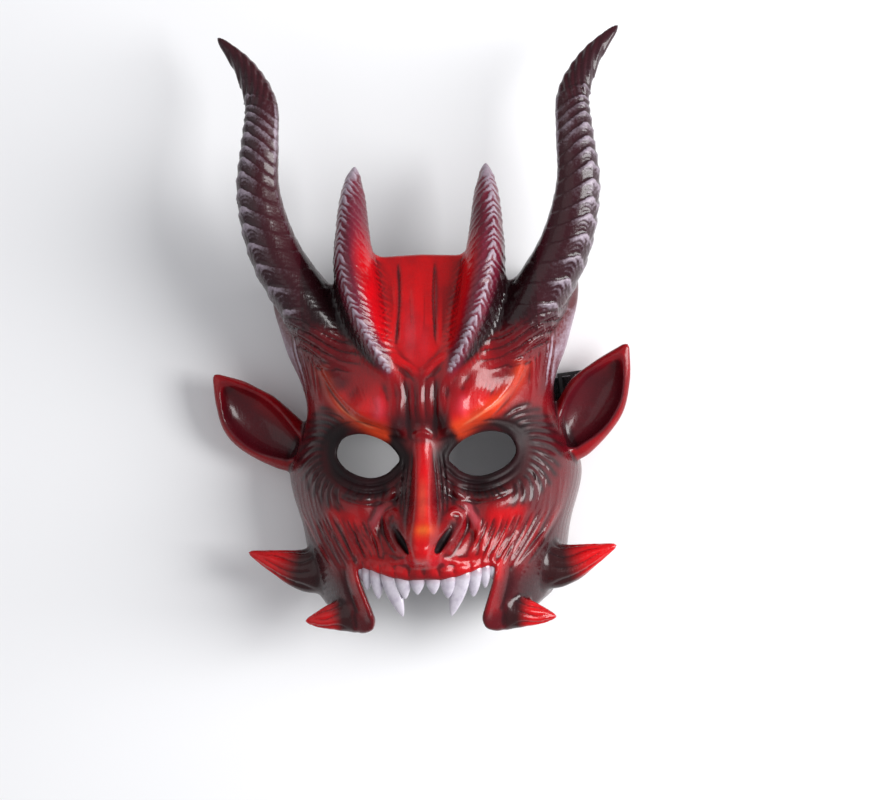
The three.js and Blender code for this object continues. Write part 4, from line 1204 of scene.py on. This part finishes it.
def split_piece(name, points, faces, planes):
    """The part of the skin on one side of each plane, closed with a flat cap at each."""
    keep = np.ones(len(faces), bool)
    for axis, at, side in planes:
        keep &= (side * (points[faces][:, :, axis] - at) > 0).any(1)
    used, flat = np.unique(faces[keep], return_inverse=True)
    mesh = bpy.data.meshes.new(name)
    fill_mesh(mesh, points[used], flat.reshape(-1, 4))
    put_attributes(mesh, [("paint", "FLOAT_COLOR", np.column_stack([paint[used], np.ones(len(used))])),
                          ("drybrush_and_highlight", "FLOAT", drybrush_and_highlight[used]), ("wash", "FLOAT", wash[used]),
                          ("matte", "FLOAT", matte[used]),
                          ("skin_normal", "FLOAT_VECTOR", normal[used])])
    bm = bmesh.new()
    bm.from_mesh(mesh)
    caps = bm.faces.layers.int.new("cap")
    for axis, at, side in planes:
        out = Vector([0, 0, 0])
        out[axis] = -side
        middle = Vector([0, 0, 0])
        middle[axis] = at
        everything = bm.verts[:] + bm.edges[:] + bm.faces[:]
        cut_line = bmesh.ops.bisect_plane(bm, geom=everything, dist=1e-5, plane_co=middle, plane_no=out,
                                          clear_outer=True)["geom_cut"]
        rim = [e for e in cut_line if isinstance(e, bmesh.types.BMEdge) and len(e.link_faces) == 1]
        if rim:
            made = bmesh.ops.triangle_fill(bm, use_beauty=True, use_dissolve=False, edges=rim, normal=out)
            for face in made["geom"]:
                if isinstance(face, bmesh.types.BMFace):
                    face[caps] = 1
                    if face.normal.dot(out) < 0:
                        face.normal_flip()
    bm.to_mesh(mesh)
    bm.free()
    mesh.shade_smooth()
    vertex = np.empty(len(mesh.loops), np.int32)
    mesh.loops.foreach_get("vertex_index", vertex)
    kept = np.empty(len(mesh.vertices) * 3, np.float32)
    mesh.attributes["skin_normal"].data.foreach_get("vector", kept)
    lengths, is_cap = np.empty(len(mesh.polygons), np.int32), np.empty(len(mesh.polygons), np.int32)
    flat = np.empty(len(mesh.polygons) * 3, np.float32)
    mesh.polygons.foreach_get("loop_total", lengths)
    mesh.polygons.foreach_get("normal", flat)
    mesh.attributes["cap"].data.foreach_get("value", is_cap)
    capped = np.repeat(is_cap, lengths) > 0
    shown = kept.reshape(-1, 3)[vertex]
    shown[capped] = np.repeat(flat.reshape(-1, 3), lengths, axis=0)[capped]
    mesh.normals_split_custom_set(shown / (np.linalg.norm(shown, axis=1)[:, None] + 1e-9))
    for extra in ("skin_normal", "cap"):
        mesh.attributes.remove(mesh.attributes[extra])
    mesh.transform(Matrix.Translation(Vector(SHIFT * MM)) @ Matrix.Scale(MM, 4))
    return mesh


for side, sign in (("left", -1), ("right", 1)):
    for part, planes in (("horns", [(1, HORN_LINE, 1)]), ("brow", [(1, HORN_LINE, -1), (1, CHEEK_LINE, 1)]),
                         ("cheek", [(1, CHEEK_LINE, -1)])):
        mesh = split_piece(part, skin, quads, [(0, 0.0, sign)] + planes)
        add_piece(f"mask_{part}_{side}", mesh, foam, "mask_body")


# %% [markdown]
# The twelve upper teeth are rounded cones that hang from the lip: two small pointed ones in the middle,
# long canines that lean inwards, and three lower ones behind on each side. They are cast with the mask
# but painted a pale grey, so they get their own mesh and their own glossy enamel.

# %% Teeth
TOOTH_THICK, TOOTH_ROOT, TOOTH_BEHIND, TOOTH_RAKE, TOOTH_FULL = 5.6, 5.0, 0.62, 0.08, 1.06
tooth_bulge = table([(0, 0.9), (0.35, 1), (0.65, 0.86), (0.87, 0.56), (0.96, 0.34), (1, 0.2)])
TOOTH_SIDES, TOOTH_RINGS, TIP_FROM = 28, 26, 0.93


def lip_at(x, y):
    half, depth = float(face_half(y)), float(face_depth(y))
    plain = depth * (1 - (x / half) ** SQUARENESS) ** (1 / SQUARENESS)
    return plain + 5 * math.exp(-((x / 34) ** 2) - ((y + 72) / 13) ** 2)


def loft(rings):
    """Points and faces of a body through rings, with a fan over each end."""
    count = len(rings[0])
    points = [p for ring in rings for p in ring]
    faces = []
    for first in range(0, (len(rings) - 1) * count, count):
        for i in range(count):
            j = (i + 1) % count
            faces.append((first + i, first + j, first + count + j, first + count + i))
    for ring, first, turn in ((rings[0], 0, -1), (rings[-1], (len(rings) - 1) * count, 1)):
        points.append(np.mean(ring, axis=0))
        fan = [(first + i, first + (i + 1) % count, len(points) - 1) for i in range(count)]
        faces += [face[::turn] for face in fan]
    return points, faces


tooth_points, tooth_faces, gum_tint = [], [], []
for x, gum, width, length, lean, taper in TEETH:
    for side in (1, -1):
        turn_by, size_by = rng.normal(0, 0.04), rng.normal(1, 0.02)
        lip, reach = lip_at(x, gum) - TOOTH_THICK * TOOTH_BEHIND, length + TOOTH_ROOT
        rings = []
        for k in range(TOOTH_RINGS):
            share = 1 - (1 - k / (TOOTH_RINGS - 1)) ** 1.25
            tip = max(share - TIP_FROM, 0) / (1 - TIP_FROM)
            size = float(tooth_bulge(share)) ** taper * math.sqrt(max(1 - tip**2, 0.03))
            drop = max(0.0, share * reach - TOOTH_ROOT)
            ring = []
            for i in range(TOOTH_SIDES):
                turn = 2 * math.pi * i / TOOTH_SIDES
                c, d = math.cos(turn), math.sin(turn)
                across = width / 2 * size * size_by * TOOTH_FULL * math.copysign(abs(c) ** 0.85, c)
                deep = TOOTH_THICK / 2 * size * math.copysign(abs(d) ** 0.9, d)
                ring.append((side * (x - lean * (drop / length) ** 1.15 + across + turn_by * drop),
                             gum + TOOTH_ROOT - share * reach,
                             lip + deep - drop * TOOTH_RAKE - 0.4 * (across / width * 2) ** 2))
            rings.append(ring if side < 0 else ring[::-1])
            gum_tint += [step(4.0, 0.5, share * reach - TOOTH_ROOT)] * TOOTH_SIDES
        points, faces = loft(rings)
        gum_tint += [1.0, 0.0]
        first = len(tooth_points)
        tooth_points += points
        tooth_faces += [tuple(first + i for i in face) for face in faces]

enamel = Finish("pale_tooth_enamel")
stain = enamel.noise(240.0, 4.0)
colour = enamel.blend(enamel.remap(stain, 0.35, 0.75, 0.0, 0.6), tone(188, 182, 192), tone(146, 136, 154))
gum_share = enamel.calc("MULTIPLY", enamel.from_points("gum"), 0.6)
enamel.put(enamel.shader["Base Color"], enamel.blend(gum_share, colour, tone(150, 112, 124)))
enamel.put(enamel.shader["Roughness"], 0.3)
enamel.put(enamel.shader["Coat Weight"], 0.5)
enamel.put(enamel.shader["Coat Roughness"], 0.12)
enamel.bump(stain, 0.25, 0.0004)

mesh = bpy.data.meshes.new("teeth")
mesh.from_pydata([tuple(v) for v in to_row(tooth_points)], [], tooth_faces)
mesh.shade_smooth()
put_attributes(mesh, [("gum", "FLOAT", np.array(gum_tint))])
add_piece("upper_teeth", mesh, enamel, None)

# %% [markdown]
# The strap is glued inside both temples, runs loose across the hollow, leaves under a lifted piece of rim
# and turns back through its slider. Its route follows from the hollow's width and the clearances.

# %% Route of the band
BAND_WIDTH, BAND_THICK, RIBS, RIB_POINTS, EXIT_SLOPE = 15.0, 1.2, 10, 6, 0.12
CLEAR, BEND, EVERY = 0.35, 3.0, 0.75
ANCHOR_Y, ANCHOR_HEIGHT, ANCHOR_CLEAR, LOOP_END = 32.0, 24.0, 1.25, 98.0
BAND_SLACK = [(-36, 0), (-14, 3), (12, 4), (38, 0)]
SLIDER_X, SLIDER_LENGTH, SLIDER_THICK, SLIDER_BAR, SLIDER_RAIL = 84.0, 18.0, 1.6, 2.4, 2.0
SLIDER_GAP = 0.2
LAYER_RISE = BAND_THICK + 2 * CLEAR
SLIDER_Z = LAYER_RISE + BAND_THICK + 2 * CLEAR + SLIDER_GAP + SLIDER_THICK / 2


def inner_wall(z):
    """Half the hollow's width at the strap, where the band's centre line runs."""
    depth, half = float(face_depth(ANCHOR_Y)) - WALL, float(face_half(ANCHOR_Y)) - WALL
    flare = float(temple_flare(ANCHOR_Y)) * math.exp(-(((z + WALL - FLARE_MIDDLE) / FLARE_REACH) ** 2))
    return half * (1 - (z / depth) ** SQUARENESS) ** (1 / SQUARENESS) + flare


def beside(z):
    return inner_wall(z) - ANCHOR_CLEAR - BAND_THICK / 2


def outside(x, z):
    """A place on the part of the band that runs out to the side, which slopes towards the horns."""
    return (x, ANCHOR_Y + (x - inner_wall(0)) * EXIT_SLOPE, z)


low = CLEAR + BAND_THICK / 2
upper = low + LAYER_RISE
over = SLIDER_Z + SLIDER_THICK / 2 + CLEAR + SLIDER_GAP + BAND_THICK / 2
half_plate = SLIDER_LENGTH / 2
slot_edge, crest = half_plate - SLIDER_BAR - 2 * SLIDER_GAP, SLIDER_BAR / 2 + 2 * SLIDER_GAP
ROUTE = [(-beside(ANCHOR_HEIGHT), ANCHOR_Y, ANCHOR_HEIGHT),
         (-beside(ANCHOR_HEIGHT / 2), ANCHOR_Y, ANCHOR_HEIGHT / 2),
         (BEND - beside(0), ANCHOR_Y, BEND), (3 * BEND - beside(0), ANCHOR_Y, low + CLEAR)]
ROUTE += [(x, ANCHOR_Y, low + rise) for x, rise in BAND_SLACK]
ROUTE += [outside(beside(0) - 3 * BEND, low), outside(SLIDER_X, low), outside(LOOP_END - BEND, low),
          outside(LOOP_END, low + LAYER_RISE / 2), outside(LOOP_END - BEND, upper)]
for x, z in ((half_plate, upper), (slot_edge, upper), (crest, over)):
    ROUTE.append(outside(SLIDER_X + x, z))
for x, z in ((crest, over), (slot_edge, upper), (half_plate, upper)):
    ROUTE.append(outside(SLIDER_X - x, z))
ROUTE += [outside(beside(0) - BEND, upper), (beside(3 * BEND), ANCHOR_Y, 3 * BEND),
          (beside(ANCHOR_HEIGHT * 0.6), ANCHOR_Y, ANCHOR_HEIGHT * 0.6),
          (beside(ANCHOR_HEIGHT), ANCHOR_Y, ANCHOR_HEIGHT)]

# %% [markdown]
# The band is flat elastic with cords woven in, which show as ribs along its length. We push one ribbed
# section along the route, and turn it to follow each bend.

# %% Elastic band
line, _ = smooth_line(ROUTE, 2400)
run = np.concatenate([[0], np.cumsum(np.linalg.norm(np.diff(line, axis=0), axis=1))])
marks = np.linspace(0, run[-1], int(run[-1] / EVERY))
line = np.stack([np.interp(marks, run, line[:, k]) for k in range(3)], 1)
ahead = np.gradient(line, axis=0)
ahead /= np.linalg.norm(ahead, axis=1)[:, None]
wide = np.array([-EXIT_SLOPE, 1, 0]) - ahead * (ahead @ [-EXIT_SLOPE, 1, 0])[:, None]
wide /= np.linalg.norm(wide, axis=1)[:, None]
thick = np.cross(ahead, wide)
w = np.linspace(-1, 1, RIBS * RIB_POINTS + 1)
rib = 0.26 * (np.abs(np.sin(np.pi * (w + 1) / 2 * RIBS)) ** 0.6 - 1)
section = [(a * BAND_WIDTH / 2, BAND_THICK / 2 + h - 0.12 * abs(a) ** 12) for a, h in zip(w, rib)]
section = section + [(a, -b) for a, b in section[::-1]]
rings = [[tuple(line[k] + wide[k] * a + thick[k] * b) for a, b in section] for k in range(len(line))]
points, faces = loft(rings)

elastic = Finish("black_ribbed_elastic")
threads = elastic.tree.nodes.new("ShaderNodeTexWave")
threads.bands_direction = "X"
for socket, value in (("Scale", 260.0), ("Distortion", 0.6), ("Detail", 2.0)):
    threads.inputs[socket].default_value = value
elastic.tree.links.new(elastic.place, threads.inputs["Vector"])
woven = threads.outputs["Fac"]
lit = elastic.calc("MULTIPLY", woven, elastic.noise(1400.0, 2.0))
elastic.put(elastic.shader["Base Color"], elastic.blend(lit, tone(20, 20, 22), tone(74, 74, 80)))
elastic.put(elastic.shader["Roughness"], 0.78)
elastic.put(elastic.shader["Sheen Weight"], 0.25)
elastic.bump(woven, 0.5, 0.0002)

mesh = bpy.data.meshes.new("band")
mesh.from_pydata([tuple(v) for v in to_row(points)], [], faces)
mesh.shade_smooth()
add_piece("elastic_band", mesh, elastic, "strap_band")
print("band length, mm:", round(run[-1], 1))

# %% [markdown]
# The slider is a small moulded plate with two slots. We lay out its bars as one flat grid with two gaps,
# give it thickness, and round its edges as a mould would. It sits between the band's two layers.

# %% Slider
half_across = BAND_WIDTH / 2 + 1.5 * CLEAR + SLIDER_RAIL
slot_end = half_plate - SLIDER_BAR
xs = [-half_plate, -slot_end, -SLIDER_BAR / 2, SLIDER_BAR / 2, slot_end, half_plate]
ys = [-half_across, SLIDER_RAIL - half_across, half_across - SLIDER_RAIL, half_across]
bm = bmesh.new()
grid = [[bm.verts.new((x, y, -SLIDER_THICK / 2)) for y in ys] for x in xs]
for i in range(5):
    for j in range(3):
        if not (j == 1 and i in (1, 3)):
            bm.faces.new((grid[i][j], grid[i + 1][j], grid[i + 1][j + 1], grid[i][j + 1]))
raised = bmesh.ops.extrude_face_region(bm, geom=bm.faces[:])["geom"]
top = [v for v in raised if isinstance(v, bmesh.types.BMVert)]
bmesh.ops.translate(bm, vec=(0, 0, SLIDER_THICK), verts=top)
bmesh.ops.recalc_face_normals(bm, faces=bm.faces[:])
edges = [e for e in bm.edges if len(e.link_faces) == 2 and e.calc_face_angle() > 1.0]
bmesh.ops.bevel(bm, geom=edges, offset=0.38, segments=3, profile=0.6, affect="EDGES")
turn = Matrix.Translation(outside(SLIDER_X, SLIDER_Z)) @ Matrix.Rotation(math.atan(EXIT_SLOPE), 4, "Z")
bm.transform(Matrix.Translation(Vector(SHIFT * MM)) @ Matrix.Scale(MM, 4) @ turn)
mesh = bpy.data.meshes.new("slider")
bm.to_mesh(mesh)
bm.free()
mesh.shade_smooth()

plastic = Finish("black_moulded_plastic")
scuff = plastic.noise(300.0, 4.0)
worn = plastic.blend(plastic.remap(scuff, 0.45, 0.8), tone(22, 22, 24), tone(48, 48, 52))
plastic.put(plastic.shader["Base Color"], worn)
plastic.put(plastic.shader["Roughness"], plastic.remap(scuff, 0.3, 0.7, 0.3, 0.5))
plastic.bump(plastic.noise(1500.0, 3.0), 0.2, 0.0001)
add_piece("strap_slider_plate", mesh, plastic, "strap_slider")

# %% [markdown]
# The mask lies on a plain pale floor under soft studio light. A tall soft box on the right draws the long
# highlights down that side, a weaker one fills from the left, and a pale sky keeps the shadows open.

# %% Floor and light
floor_mesh = bpy.data.meshes.new("floor")
floor_mesh.from_pydata([(-3, -3, 0), (3, -3, 0), (3, 3, 0), (-3, 3, 0)], [], [(0, 1, 2, 3)])
floor = bpy.data.objects.new("floor", floor_mesh)
bpy.context.scene.collection.objects.link(floor)
paper = Finish("pale_floor")
paper.put(paper.shader["Base Color"], (0.86, 0.86, 0.87))
paper.put(paper.shader["Roughness"], 0.9)
paper.put(paper.shader["Specular IOR Level"], 0.1)
floor_mesh.materials.append(paper.material)


def soft_box(name, at, size, power, target=(0.0, -0.02, 0.05)):
    data = bpy.data.lights.new(name, "AREA")
    data.shape, data.size, data.size_y, data.energy = "RECTANGLE", size[0], size[1], power
    lamp = bpy.data.objects.new(name, data)
    lamp.location = at
    lamp.rotation_euler = (Vector(target) - Vector(at)).to_track_quat("-Z", "Y").to_euler()
    bpy.context.scene.collection.objects.link(lamp)


soft_box("key", (1.25, 0.0, 0.85), (0.6, 1.3), 36)
soft_box("fill", (-1.3, 0.2, 1.6), (2.0, 2.0), 7)
world = bpy.data.worlds.new("studio")
world.use_nodes = True
world.node_tree.nodes["Background"].inputs["Color"].default_value = (0.95, 0.96, 1.0, 1)
world.node_tree.nodes["Background"].inputs["Strength"].default_value = 0.46
bpy.context.scene.world = world
bpy.context.scene.view_settings.view_transform = "Standard"
